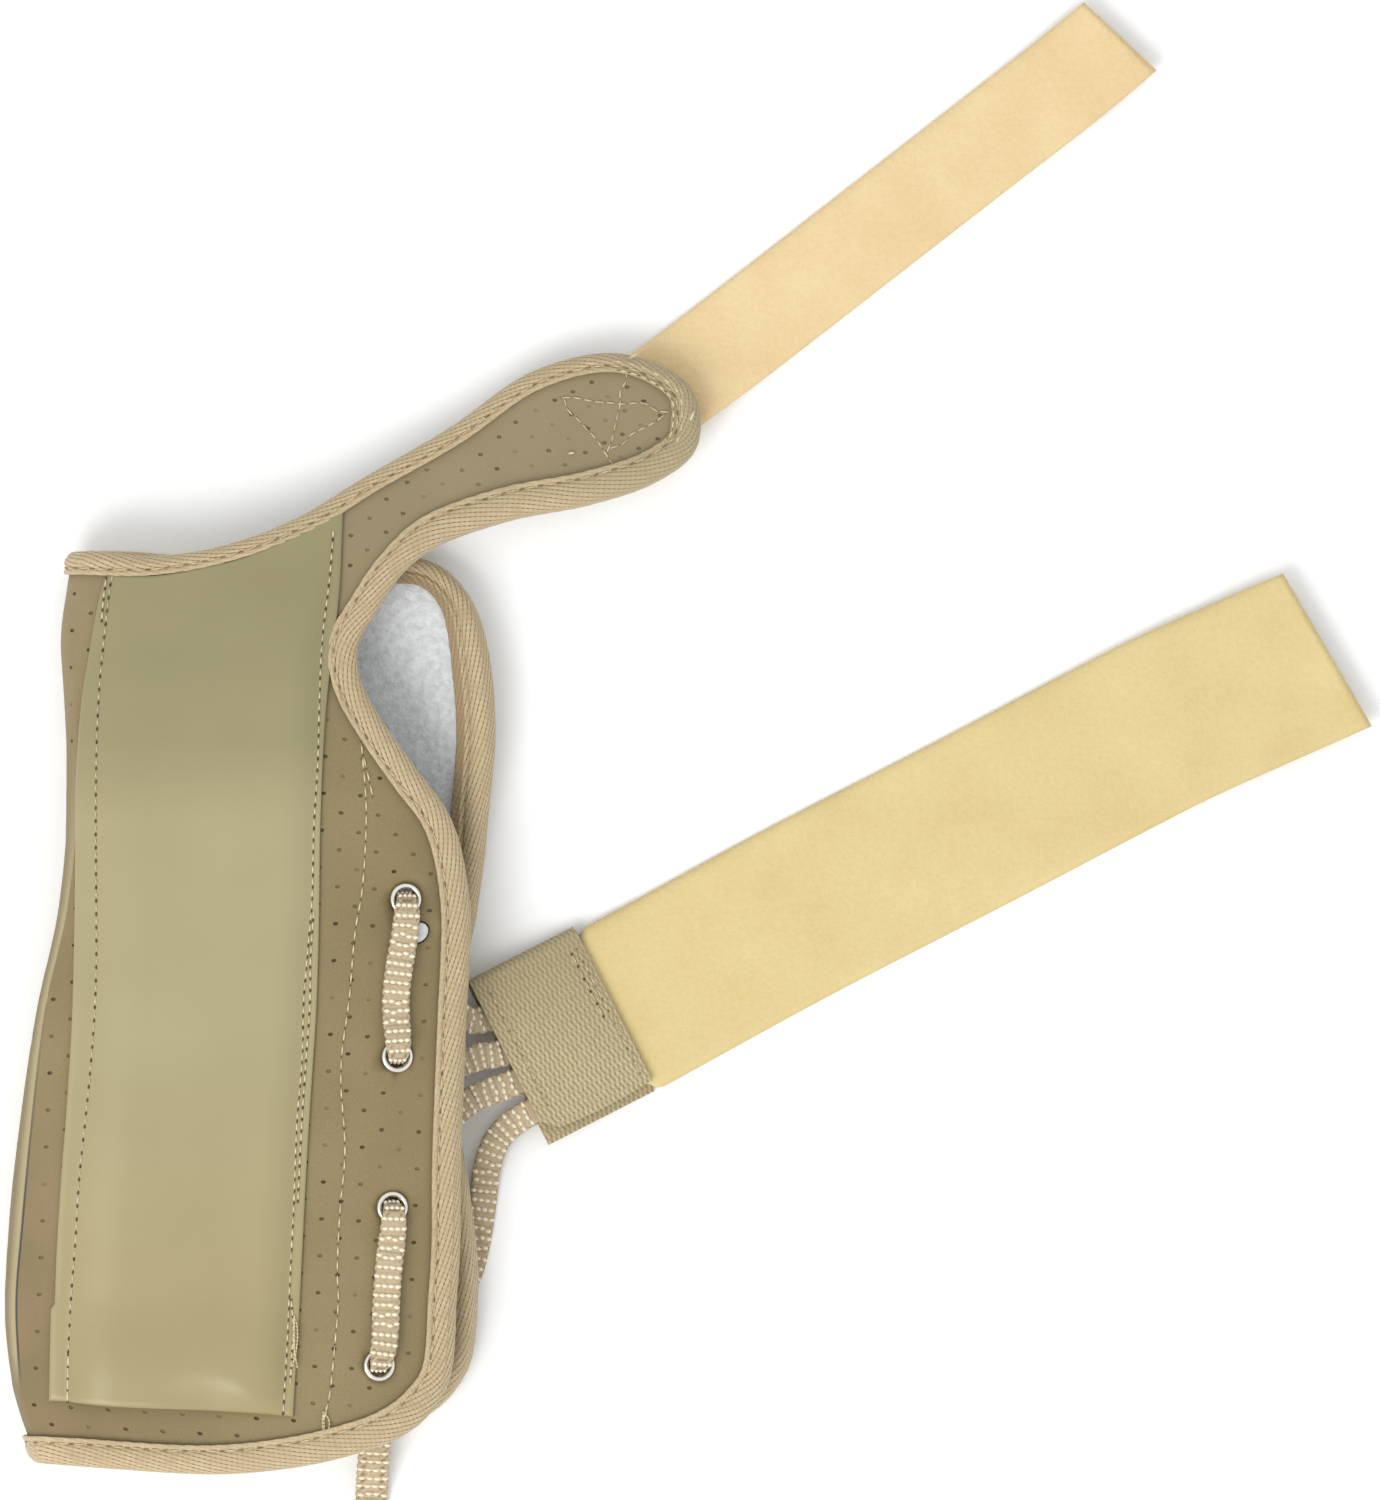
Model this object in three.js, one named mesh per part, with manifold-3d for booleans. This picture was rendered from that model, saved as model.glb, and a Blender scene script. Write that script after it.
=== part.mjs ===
// Lace-up wrist brace for a right hand, lying palm side up with its straps spread out.
// X runs from the folded side to the laced side, Y from the forearm end to the hand end, Z up from the table.
import * as THREE from "three";
import { mergeVertices } from "three/addons/utils/BufferGeometryUtils.js";
import Module from "manifold-3d";

const wasm = await Module();
wasm.setup();

// Driving sizes, mm
const WALL = 2.4;
const LINING = 0.9;
const GAP = 0.3;
const TAPE = { width: 6.6, thick: 0.8, edge: 1.25, gap: 0.42 };
const EYELET = { bore: 2.4, barrel: 2.75, flange: 3.6, rise: 0.8, sides: 12 };
const LACE = { width: 6.2, thick: 1.3, boreWidth: 3.9, boreThick: 1.4 };
const TAIL = { width: 7.2, thick: 1.2 };
const POCKET = { thick: 1, bulge: 2.6, margin: 4.4, mouth: -88.2 };
const CLOSURE = { width: 39.4, thick: 1.8 };
const THUMB = { width: 22.2, thick: 1.6 };
const TAB = { length: 26.7, layer: 1, space: 2.6, fold: 21, low: 20 };
const PUNCHED = { x: 37.6, y: 17.3, radius: 2.6 };
const FOLD_ROUND = { drop: 2.5, reach: 9, base: 11 };
const BACK_RISE = { from: 12, to: 52 };
const HEM = { lift: 1.4, from: 72, to: 88 };
const LACE_STRIP = 33;
const RING_STEP = 8.6;
const SIDE_STEP = 4.2;
const CREASE_STEP = 2.8;
const FOLD_ENDS = { forearm: -100.8, hand: 102 };
const LATTICE = 10.8;

// The sleeve along its length: the folded side's outermost x, the crease, the outer height of the palm side and
// its fall to the lace edge, the pocket's two edges, and how far the back half's free edge rises
const SLEEVE = [
  { y: -103, fold: -45.2, crease: -43.8, top: 24, droop: 5, pocket: -44.3, seam: 9.2, rise: 3 },
  { y: -94, fold: -49, crease: -47.5, top: 24.5, droop: 5.3, pocket: -44.3, seam: 9.6, rise: 4 },
  { y: -82, fold: -52.4, crease: -50.9, top: 25, droop: 5.8, pocket: -44.1, seam: 10.3, rise: 5.5 },
  { y: -66, fold: -54, crease: -51.9, top: 25.6, droop: 6.2, pocket: -43.2, seam: 11.2, rise: 7.5 },
  { y: -47, fold: -53.1, crease: -50.5, top: 26.3, droop: 6.5, pocket: -42.2, seam: 12.2, rise: 8 },
  { y: -20, fold: -50, crease: -47.8, top: 26.9, droop: 6.5, pocket: -40.2, seam: 13.7, rise: 5 },
  { y: 0, fold: -46.8, crease: -45.2, top: 27, droop: 6.5, pocket: -39, seam: 15, rise: 5 },
  { y: 24, fold: -41.8, crease: -40, top: 26.6, droop: 6, pocket: -38.2, seam: 15.6, rise: 6 },
  { y: 40, fold: -40.4, crease: -38.4, top: 25.6, droop: 5.2, pocket: -37.4, seam: 15.8, rise: 8 },
  { y: 56, fold: -40.3, crease: -38.2, top: 23.7, droop: 4, pocket: -37.2, seam: 16.4, rise: 9 },
  { y: 70, fold: -40.9, crease: -38.9, top: 21.3, droop: 2, pocket: -36.8, seam: 16.6, rise: 9 },
  { y: 82, fold: -41.6, crease: -39.7, top: 19.1, droop: 0.5, pocket: -35, seam: 16.9, rise: 7.5 },
  { y: 95, fold: -40, crease: -38.5, top: 17.8, droop: 0, pocket: -32.3, seam: 19.4, rise: 4.5 },
  { y: 104, fold: -38.8, crease: -37.5, top: 16.6, droop: 0, pocket: -31, seam: 20.6, rise: 3 },
  { y: 118, fold: -40, crease: -38.6, top: 13.4, droop: 0, pocket: -31, seam: 20.8, rise: 3 },
  { y: 132, fold: -40, crease: -38.6, top: 10.8, droop: 0, pocket: -31, seam: 20.8, rise: 3 },
  { y: 148, fold: -40, crease: -38.6, top: 8.5, droop: 0, pocket: -31, seam: 20.8, rise: 3 },
];

// The cut edge of the palm side, from the fold at the forearm end round to the fold at the hand end
const FOREARM_HEM = [
  { x: -36, y: -101.3 },
  { x: -7, y: -102.9 },
  { x: 11, y: -101.3 },
  { x: 24.5, y: -98.2 },
  { x: 33.5, y: -94.8 },
  { x: 40, y: -89.8 },
];
const LACE_EDGE = [
  { x: 44.4, y: -82 },
  { x: 46.2, y: -62 },
  { x: 47, y: -33 },
  { x: 48.4, y: 2 },
  { x: 49.1, y: 15 },
  { x: 47.8, y: 33.3 },
  { x: 44, y: 44.5 },
  { x: 37, y: 54 },
  { x: 29.5, y: 64.6 },
];
const THUMB_NOTCH = [
  { x: 24.9, y: 73.3 },
  { x: 24.2, y: 81 },
  { x: 27.8, y: 88 },
  { x: 34.3, y: 97.5 },
];
// tape is the width of the binding tape that shows, where it is less than its full width
const NECK = [
  { x: 41, y: 103 },
  { x: 57.8, y: 109.3 },
  { x: 75.6, y: 112.9 },
  { x: 90, y: 117.7 },
  { x: 98.5, y: 124 },
  { x: 100.2, y: 130.5 },
  { x: 98, y: 138.5, tape: 5.6 },
  { x: 90, y: 144, tape: 4.8 },
  { x: 79, y: 146.2, tape: 4.5 },
  { x: 62.2, y: 141.8, tape: 4.5 },
  { x: 44.4, y: 129.6, tape: 4.5 },
  { x: 26.7, y: 119.3, tape: 4.3 },
];
const HAND_HEM = [
  { x: 11, y: 109.8, tape: 4.2 },
  { x: -6.7, y: 103.1, tape: 4.1 },
  { x: -22, y: 101, tape: 4.6 },
  { x: -36, y: 102.2, tape: 5.6 },
];
// The cut edge of the back half, from the fold at the hand end round to the fold at the forearm end
const BACK_EDGE = [
  { x: -12, y: 100.8 },
  { x: 8, y: 100.5 },
  { x: 30, y: 101.3 },
  { x: 42, y: 98.8, tape: 5.4 },
  { x: 49.5, y: 91, tape: 5.6 },
  { x: 53.6, y: 78 },
  { x: 54.8, y: 62 },
  { x: 52.8, y: 38 },
  { x: 49.9, y: 18 },
  { x: 46.2, y: 4 },
  { x: 45.4, y: -10 },
  { x: 46.4, y: -25 },
  { x: 49, y: -40 },
  { x: 51, y: -61 },
  { x: 49.8, y: -76 },
  { x: 45, y: -85.6 },
  { x: 34, y: -93.2 },
  { x: 12, y: -98.6 },
  { x: -18, y: -100 },
];

// The eyelets of the lace edge, from the hand end to the forearm end
const EYELETS = [
  { name: "eyelet_1", x: 34.7, y: 24.7 },
  { name: "eyelet_2", x: 32.8, y: -10.2 },
  { name: "eyelet_3", x: 31.7, y: -43.6 },
  { name: "eyelet_4", x: 28.8, y: -78.7 },
];

// A column of a table as a smooth function of y that never swings past its rows
function column(rows, key) {
  const slopes = rows.map((row, i) => {
    const step = (j) => (rows[j + 1][key] - rows[j][key]) / (rows[j + 1].y - rows[j].y);
    if (i === 0 || i === rows.length - 1) return step(Math.min(i, rows.length - 2));
    const before = step(i - 1);
    const after = step(i);
    return before * after > 0 ? (2 * before * after) / (before + after) : 0;
  });
  return (y) => {
    const at = THREE.MathUtils.clamp(y, rows[0].y, rows[rows.length - 1].y);
    const i = Math.max(0, Math.min(rows.length - 2, rows.findIndex((row) => row.y >= at) - 1));
    const span = rows[i + 1].y - rows[i].y;
    const t = (at - rows[i].y) / span;
    const rest = 1 - t;
    return (
      rows[i][key] * rest * rest * (1 + 2 * t) +
      rows[i + 1][key] * t * t * (3 - 2 * t) +
      span * t * rest * (slopes[i] * rest - slopes[i + 1] * t)
    );
  };
}
const fold = column(SLEEVE, "fold");
const crease = column(SLEEVE, "crease");
const top = column(SLEEVE, "top");
const droop = column(SLEEVE, "droop");
const pocketEdge = column(SLEEVE, "pocket");
const seam = column(SLEEVE, "seam");
const rise = column(SLEEVE, "rise");

// Outer height of the palm side and of the back half over the table
function palmHeight(x, y) {
  const fromCrease = Math.max(0, 1 - (x - crease(y)) / FOLD_ROUND.reach);
  const toEdge = THREE.MathUtils.clamp((x - seam(y)) / LACE_STRIP, 0, 1);
  return top(y) - FOLD_ROUND.drop * fromCrease ** 2 - droop(y) * toEdge ** 2;
}
function backHeight(x, y) {
  const lift = Math.max(0, (x - BACK_RISE.from) / (BACK_RISE.to - BACK_RISE.from));
  return HEM.lift * THREE.MathUtils.smoothstep(Math.abs(y), HEM.from, HEM.to) + rise(y) * lift ** 3;
}

// The folded side at one y, from the crease down and under to the table, as a curve in x and z
const sides = new Map();
function side(y) {
  if (!sides.has(y)) {
    const creaseX = crease(y);
    const baseX = fold(y) + FOLD_ROUND.base;
    const bulgeX = (fold(y) - 0.125 * (creaseX + baseX)) / 0.75;
    const z = palmHeight(creaseX, y);
    const floor = backHeight(baseX, y);
    const curve = new THREE.CubicBezierCurve(
      new THREE.Vector2(creaseX, z),
      new THREE.Vector2(bulgeX, floor + 0.7 * (z - floor)),
      new THREE.Vector2(bulgeX, floor),
      new THREE.Vector2(baseX, floor),
    );
    curve.arcLengthDivisions = 60;
    sides.set(y, curve);
  }
  return sides.get(y);
}

// The wrap is one flat sheet: u runs across it from the crease, v along it. skin is its outer face as it lies folded.
function skin(u, v) {
  if (u >= 0) return new THREE.Vector3(crease(v) + u, v, palmHeight(crease(v) + u, v));
  const curve = side(v);
  const length = curve.getLength();
  if (u > -length) {
    const at = curve.getPointAt(-u / length);
    return new THREE.Vector3(at.x, v, at.y);
  }
  const x = curve.v3.x - u - length;
  return new THREE.Vector3(x, v, backHeight(x, v));
}
function outward(u, v) {
  const reach = 0.4;
  const across = skin(u + reach, v).sub(skin(u - reach, v));
  const along = skin(u, v + reach).sub(skin(u, v - reach));
  return across.cross(along).normalize();
}
function place(u, v, lift) {
  return skin(u, v).addScaledVector(outward(u, v), lift);
}
const palmU = (x, y) => x - crease(y);
const backU = (x, y) => side(y).v3.x - x - side(y).getLength();

// The cut edge of the flat sheet, in stretches that meet at the crease and at the foot of the folded side
const flat = (rows, across) =>
  rows.map(({ x, y, tape = TAPE.width }) => new THREE.Vector3(across(x, y), y, tape));
const foot = (y) => -side(y).getLength();
const corner = (u, y) => new THREE.Vector3(u, y, TAPE.width);
const palmEdge = flat([...FOREARM_HEM, ...LACE_EDGE, ...THUMB_NOTCH, ...NECK, ...HAND_HEM], palmU);
const { forearm, hand } = FOLD_ENDS;
const STRETCHES = [
  { knots: [corner(0, forearm)], step: CREASE_STEP },
  { knots: palmEdge.slice(0, -1), step: RING_STEP },
  { knots: palmEdge.slice(-1), step: CREASE_STEP },
  { knots: [corner(0, hand)], step: SIDE_STEP },
  { knots: [corner(foot(hand), hand), ...flat(BACK_EDGE, backU)], step: RING_STEP },
  { knots: [corner(foot(forearm), forearm)], step: SIDE_STEP },
];
const edgeKnots = STRETCHES.flatMap((stretch) => stretch.knots);
const edgeCurve = new THREE.CatmullRomCurve3(edgeKnots, true, "centripetal");

// Places along part of a curve, an even step apart
function evenly(curve, from, to, step) {
  const marks = Array.from({ length: 801 }, (_, i) => THREE.MathUtils.lerp(from, to, i / 800));
  const points = marks.map((t) => curve.getPoint(t));
  const travelled = [0];
  for (let i = 1; i < points.length; i++) travelled.push(travelled[i - 1] + points[i].distanceTo(points[i - 1]));
  const count = Math.round(travelled[800] / step);
  return Array.from({ length: count }, (_, i) => {
    const goal = (travelled[800] * i) / count;
    return marks[travelled.findIndex((length) => length >= goal - 1e-9)];
  });
}

// Each sample of the edge has the direction into the sheet
let stretchStart = 0;
const edge = STRETCHES.flatMap(({ knots, step }) => {
  const from = stretchStart / edgeKnots.length;
  stretchStart += knots.length;
  return evenly(edgeCurve, from, stretchStart / edgeKnots.length, step).map((t) => {
    const at = edgeCurve.getPoint(t);
    const along = edgeCurve.getTangent(t).setZ(0).normalize();
    return { u: at.x, v: at.y, tape: at.z, inU: -along.y, inV: along.x };
  });
});
const inset = (sample, depth) => ({ u: sample.u + depth * sample.inU, v: sample.v + depth * sample.inV });

// Whether a point of the flat sheet is inside a closed ring of points
function inside(ring, u, v) {
  let odd = false;
  ring.forEach((a, i) => {
    const b = ring[(i + 1) % ring.length];
    if (a.v > v !== b.v > v && u < a.u + ((b.u - a.u) * (v - a.v)) / (b.v - a.v)) odd = !odd;
  });
  return odd;
}

// Delaunay triangles of a set of flat points, by adding one point at a time
function delaunay(points) {
  const far = 4000;
  const all = [...points, { u: -far, v: -far }, { u: far, v: -far }, { u: 0, v: far }];
  const circle = (a, b, c) => {
    const [p, q, r] = [all[a], all[b], all[c]];
    const d = 2 * (p.u * (q.v - r.v) + q.u * (r.v - p.v) + r.u * (p.v - q.v));
    const [pp, qq, rr] = [p, q, r].map((at) => at.u ** 2 + at.v ** 2);
    const u = (pp * (q.v - r.v) + qq * (r.v - p.v) + rr * (p.v - q.v)) / d;
    const v = (pp * (r.u - q.u) + qq * (p.u - r.u) + rr * (q.u - p.u)) / d;
    return { a, b, c, u, v, r2: (p.u - u) ** 2 + (p.v - v) ** 2 };
  };
  const n = points.length;
  let faces = [circle(n, n + 1, n + 2)];
  points.forEach((at, i) => {
    const rim = new Map();
    faces = faces.filter((face) => {
      if ((at.u - face.u) ** 2 + (at.v - face.v) ** 2 > face.r2) return true;
      for (const [s, t] of [[face.a, face.b], [face.b, face.c], [face.c, face.a]]) {
        if (!rim.delete(`${t} ${s}`)) rim.set(`${s} ${t}`, [s, t]);
      }
      return false;
    });
    for (const [s, t] of rim.values()) faces.push(circle(s, t, i));
  });
  return faces.filter((face) => Math.max(face.a, face.b, face.c) < n).map(({ a, b, c }) => [a, b, c]);
}

// A closed solid between two faces with the same triangles
function slab(lower, upper, triangles) {
  const n = upper.length;
  const open = new Map();
  for (const [a, b, c] of triangles) {
    for (const [s, t] of [[a, b], [b, c], [c, a]]) {
      if (!open.delete(`${t} ${s}`)) open.set(`${s} ${t}`, [s, t]);
    }
  }
  const index = triangles.flatMap(([a, b, c]) => [a, b, c, n + a, n + c, n + b]);
  for (const [s, t] of open.values()) index.push(s, n + s, n + t, s, n + t, t);
  const geometry = new THREE.BufferGeometry().setFromPoints([...upper, ...lower]);
  return geometry.setIndex(index);
}

// A closed solid through rings of points, capped at its ends unless it joins up with itself
function loft(rings, joined = false) {
  const n = rings[0].length;
  const index = [];
  const last = joined ? rings.length : rings.length - 1;
  for (let i = 0; i < last; i++) {
    const next = (i + 1) % rings.length;
    for (let j = 0; j < n; j++) {
      const k = (j + 1) % n;
      index.push(i * n + j, i * n + k, next * n + k, i * n + j, next * n + k, next * n + j);
    }
  }
  const cap = joined ? [] : capOf(rings[0]);
  const end = (rings.length - 1) * n;
  for (const [a, b, c] of cap) index.push(a, c, b);
  const endCap = joined ? [] : capOf(rings[rings.length - 1]);
  for (const [a, b, c] of endCap) index.push(end + a, end + b, end + c);
  return new THREE.BufferGeometry().setFromPoints(rings.flat()).setIndex(index);
}
function capOf(ring) {
  const origin = ring[0];
  const normal = new THREE.Vector3();
  ring.forEach((at, i) => {
    const a = at.clone().sub(origin);
    normal.add(a.cross(ring[(i + 1) % ring.length].clone().sub(origin)));
  });
  const right = ring[1].clone().sub(origin).normalize();
  const upward = normal.normalize().clone().cross(right);
  const plane = ring.map((at) => {
    const from = at.clone().sub(origin);
    return new THREE.Vector2(from.dot(right), from.dot(upward));
  });
  return THREE.ShapeUtils.triangulateShape(plane, []);
}

function solid(geometry) {
  const bare = new THREE.BufferGeometry().setAttribute("position", geometry.getAttribute("position"));
  const merged = mergeVertices(bare.setIndex(geometry.index), 1e-4);
  return new wasm.Manifold(
    new wasm.Mesh({
      numProp: 3,
      vertProperties: new Float32Array(merged.attributes.position.array),
      triVerts: new Uint32Array(merged.index.array),
    }),
  );
}
function geometryOf(made) {
  const mesh = made.getMesh();
  return new THREE.BufferGeometry()
    .setAttribute("position", new THREE.BufferAttribute(new Float32Array(mesh.vertProperties), 3))
    .setIndex(new THREE.BufferAttribute(new Uint32Array(mesh.triVerts), 1));
}

const brace = new THREE.Group();
brace.name = "wrist_brace";
function add(name, geometry, colour, roughness, metalness = 0) {
  const shown = geometry.index ? geometry.toNonIndexed() : geometry;
  shown.computeVertexNormals();
  const material = new THREE.MeshStandardMaterial({ color: colour, roughness, metalness });
  const mesh = new THREE.Mesh(shown, material);
  mesh.name = name;
  brace.add(mesh);
  return mesh;
}

// The flat sheet's triangles: two rings along the cut edge, then columns that follow the crease
const hem = edge.map((sample) => inset(sample, TAPE.edge));
const inner = edge.map((sample) => inset(sample, sample.tape + 0.6));
const clear = edge.map((sample) => inset(sample, TAPE.width + 4.6));
const columns = [0];
for (let u = 4.5; u < 150; u += u < 9 ? 4.5 : LATTICE) columns.push(u);
for (let u = -5; u > -150; u -= u > -42 ? 5 : LATTICE) columns.push(u);
const lattice = columns.flatMap((u, i) => {
  const start = -100 + (i % 2 ? LATTICE / 2 : 0);
  const rows = Array.from({ length: 27 }, (_, j) => ({ u, v: start + j * LATTICE }));
  return rows.filter((at) => inside(clear, at.u, at.v) && inside(inner, at.u, at.v));
});
const sheet = [...hem, ...inner, ...lattice];
const sheetFaces = delaunay(sheet).filter(([a, b, c]) => {
  const u = (sheet[a].u + sheet[b].u + sheet[c].u) / 3;
  const v = (sheet[a].v + sheet[b].v + sheet[c].v) / 3;
  return inside(hem, u, v);
});
const layer = (lift) => sheet.map((at) => place(at.u, at.v, lift));

// Wrap, with the holes of its eyelets and one hole that was punched and left empty
const liningTop = -WALL - GAP;
const liningFace = liningTop - LINING;
const turnToFace = (u, v) => new THREE.Quaternion().setFromUnitVectors(new THREE.Vector3(0, 1, 0), outward(u, v));
function drill(x, y, radius) {
  const u = palmU(x, y);
  const tool = new THREE.CylinderGeometry(radius, radius, 14, EYELET.sides);
  tool.applyQuaternion(turnToFace(u, y));
  const at = skin(u, y);
  return solid(tool.translate(at.x, at.y, at.z));
}
const eyeletHoles = EYELETS.map(({ x, y }) => drill(x, y, EYELET.barrel + GAP));
const cut = (geometry, tools) => geometryOf(tools.reduce((made, tool) => made.subtract(tool), solid(geometry)));
const wrap = slab(layer(-WALL), layer(0), sheetFaces);
add("body_wrap", cut(wrap, [...eyeletHoles, drill(PUNCHED.x, PUNCHED.y, PUNCHED.radius)]), 0xa08c6a, 0.75);

// Fleece lining under the wrap
const fleece = slab(layer(liningFace), layer(liningTop), sheetFaces);
add("lining", cut(fleece, eyeletHoles), 0xcdd1d6, 0.95);

// Binding tape folded over the whole cut edge
const TAPE_SECTION = [
  { share: 1, lift: TAPE.gap },
  { share: 1, lift: TAPE.gap + TAPE.thick },
  { depth: 0.7, lift: TAPE.gap + TAPE.thick },
  { depth: 0, lift: 0 },
  { depth: 0, lift: liningFace },
  { depth: 0.7, lift: liningFace - TAPE.gap - TAPE.thick },
  { share: 1, lift: liningFace - TAPE.gap - TAPE.thick },
  { share: 1, lift: liningFace - TAPE.gap },
  { depth: TAPE.edge - TAPE.gap, lift: liningFace - TAPE.gap },
  { depth: TAPE.edge - TAPE.gap, lift: TAPE.gap },
];
const tapeRings = edge.map((sample) =>
  TAPE_SECTION.map(({ share = 0, depth = 0, lift }) => {
    const at = inset(sample, depth + share * sample.tape);
    return place(at.u, at.v, lift);
  }),
);
add("binding", loft(tapeRings, true), 0xc9ac80, 0.85);

// Stay pocket on the palm side: sewn down along both sides, closed in the hand hem, open at the forearm end
const POCKET_ACROSS = [
  { share: 0, from: 0, raised: 0 },
  { share: 0, from: POCKET.margin, raised: 0 },
  { share: 0, from: POCKET.margin + 3, raised: 0.75 },
  { share: 0, from: POCKET.margin + 7, raised: 1 },
  { share: 0.5, from: 0, raised: 1 },
  { share: 1, from: -POCKET.margin - 6, raised: 1 },
  { share: 1, from: -POCKET.margin - 2, raised: 0.75 },
  { share: 1, from: -POCKET.margin + 1, raised: 0 },
  { share: 1, from: 0, raised: 0 },
];
const handHem = column(
  HAND_HEM.concat(NECK.slice(-1)).map(({ x, y }) => ({ y: x, hem: y })).sort((a, b) => a.y - b.y),
  "hem",
);
const HAND_TAPE = Math.max(...HAND_HEM.map((row) => row.tape));
const pocketRows = Array.from({ length: 16 }, (_, i) => i / 15);
const pocketPoints = pocketRows.flatMap((along) =>
  POCKET_ACROSS.map(({ share, from, raised }) => {
    const guess = THREE.MathUtils.lerp(POCKET.mouth, 100, along);
    const across = (y) => THREE.MathUtils.lerp(pocketEdge(y) + 0.4, seam(y), share) + from;
    const end = handHem(across(guess)) - HAND_TAPE - 1.2;
    const y = THREE.MathUtils.lerp(POCKET.mouth - 2.4 * share, end, along);
    const closing = THREE.MathUtils.smoothstep(end - y, 0, 26);
    const opening = 1 + 0.35 * THREE.MathUtils.smoothstep(-y, 66, 88);
    return { u: palmU(across(y), y), v: y, lift: 2 * GAP + POCKET.bulge * raised * closing * opening };
  }),
);
const pocketFaces = [];
for (let i = 0; i < pocketRows.length - 1; i++) {
  for (let j = 0; j < POCKET_ACROSS.length - 1; j++) {
    const a = i * POCKET_ACROSS.length + j;
    const b = a + POCKET_ACROSS.length;
    pocketFaces.push([a, a + 1, b + 1], [a, b + 1, b]);
  }
}
const pocketLayer = (thick) => pocketPoints.map((at) => place(at.u, at.v, at.lift + thick));
add("stay_pocket", slab(pocketLayer(0), pocketLayer(POCKET.thick), pocketFaces), 0xb7ac84, 0.5);

// Eyelets of the lace edge, each a flange, a barrel and a rolled rim
const { bore, barrel, flange } = EYELET;
const EYELET_SECTION = [
  { radius: bore, lift: liningFace - GAP - 0.6 },
  { radius: flange - 0.3, lift: liningFace - GAP - 0.6 },
  { radius: flange - 0.3, lift: liningFace - GAP },
  { radius: barrel, lift: liningFace - GAP },
  { radius: barrel, lift: GAP },
  { radius: flange, lift: GAP },
  { radius: flange - 0.3, lift: GAP + 0.7 * EYELET.rise },
  { radius: (flange + bore) / 2, lift: GAP + EYELET.rise },
  { radius: bore, lift: GAP + 0.5 * EYELET.rise },
  { radius: bore, lift: liningFace - GAP - 0.6 },
];
const eyeletOutline = EYELET_SECTION.map(({ radius, lift }) => new THREE.Vector2(radius, lift));
for (const { name, x, y } of EYELETS) {
  const u = palmU(x, y);
  const ring = add(name, new THREE.LatheGeometry(eyeletOutline, EYELET.sides), 0xd9d6cd, 0.25, 1);
  ring.quaternion.copy(turnToFace(u, y));
  ring.position.copy(skin(u, y));
}

// A flat braid or strap through rows of a place, a direction across and a size
const BRAID = [
  { across: 0.5, up: 0 },
  { across: 0.4, up: 0.5 },
  { across: -0.4, up: 0.5 },
  { across: -0.5, up: 0 },
  { across: -0.4, up: -0.5 },
  { across: 0.4, up: -0.5 },
];
const BAND = [
  { across: 0.5, up: -0.5 },
  { across: 0.5, up: 0.5 },
  { across: -0.5, up: 0.5 },
  { across: -0.5, up: -0.5 },
];
function ribbon(rows, section, steps, square = true) {
  const path = new THREE.CatmullRomCurve3(rows.map((row) => row.at), false, "centripetal");
  const turn = new THREE.CatmullRomCurve3(rows.map((row) => row.across), false, "catmullrom", 0.5);
  const size = new THREE.CatmullRomCurve3(
    rows.map((row) => new THREE.Vector3(row.width, row.thick, 0)),
    false,
    "catmullrom",
    0.2,
  );
  const rings = Array.from({ length: steps + 1 }, (_, i) => {
    const t = i / steps;
    const centre = path.getPoint(t);
    const along = path.getTangent(t);
    const across = turn.getPoint(t);
    if (square) across.addScaledVector(along, -across.dot(along));
    across.normalize();
    const up = along.clone().cross(across).normalize();
    const { x: width, y: thick } = size.getPoint(t);
    return section.map((corner) =>
      centre.clone().addScaledVector(across, corner.across * width).addScaledVector(up, corner.up * thick),
    );
  });
  return loft(rings);
}
const row = (x, y, z, acrossX, acrossY, acrossZ = 0, size = LACE) => ({
  at: new THREE.Vector3(x, y, z),
  across: new THREE.Vector3(acrossX, acrossY, acrossZ),
  width: size.width,
  thick: size.thick,
});

// The way of a lace through an eyelet, from inside the sleeve up through the bore and off along the top
const CROSSING = [
  { inward: 5.6, lift: -7.8, width: LACE.width },
  { inward: 3.2, lift: -7, width: LACE.width - 0.6 },
  { inward: 0.8, lift: -5.7, width: LACE.boreWidth },
  { inward: 0, lift: -3.4, width: LACE.boreWidth },
  { onward: 0.2, lift: 0.2, width: LACE.boreWidth },
  { onward: 1.2, lift: 2, width: LACE.boreWidth + 0.7 },
  { onward: 3.4, lift: 2.5, width: LACE.width - 0.4 },
  { onward: 7, lift: 1.9, width: LACE.width },
];
function crossing({ x, y }, inX, inY, onX, onY, sign) {
  const u = palmU(x, y);
  const normal = outward(u, y);
  const centre = skin(u, y);
  const level = (dx, dy) => new THREE.Vector3(dx, dy, 0).projectOnPlane(normal).normalize();
  const inWay = level(inX, inY);
  const onWay = level(onX, onY);
  return CROSSING.map(({ inward = 0, onward = 0, lift, width }) => ({
    at: centre.clone().addScaledVector(inWay, inward).addScaledVector(onWay, onward).addScaledVector(normal, lift),
    across: inward > 2 ? level(Math.abs(inY), inX * Math.sign(-inY)).multiplyScalar(sign) : level(sign, 0),
    width,
    thick: width < 5 ? LACE.boreThick : LACE.thick,
  }));
}

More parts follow.
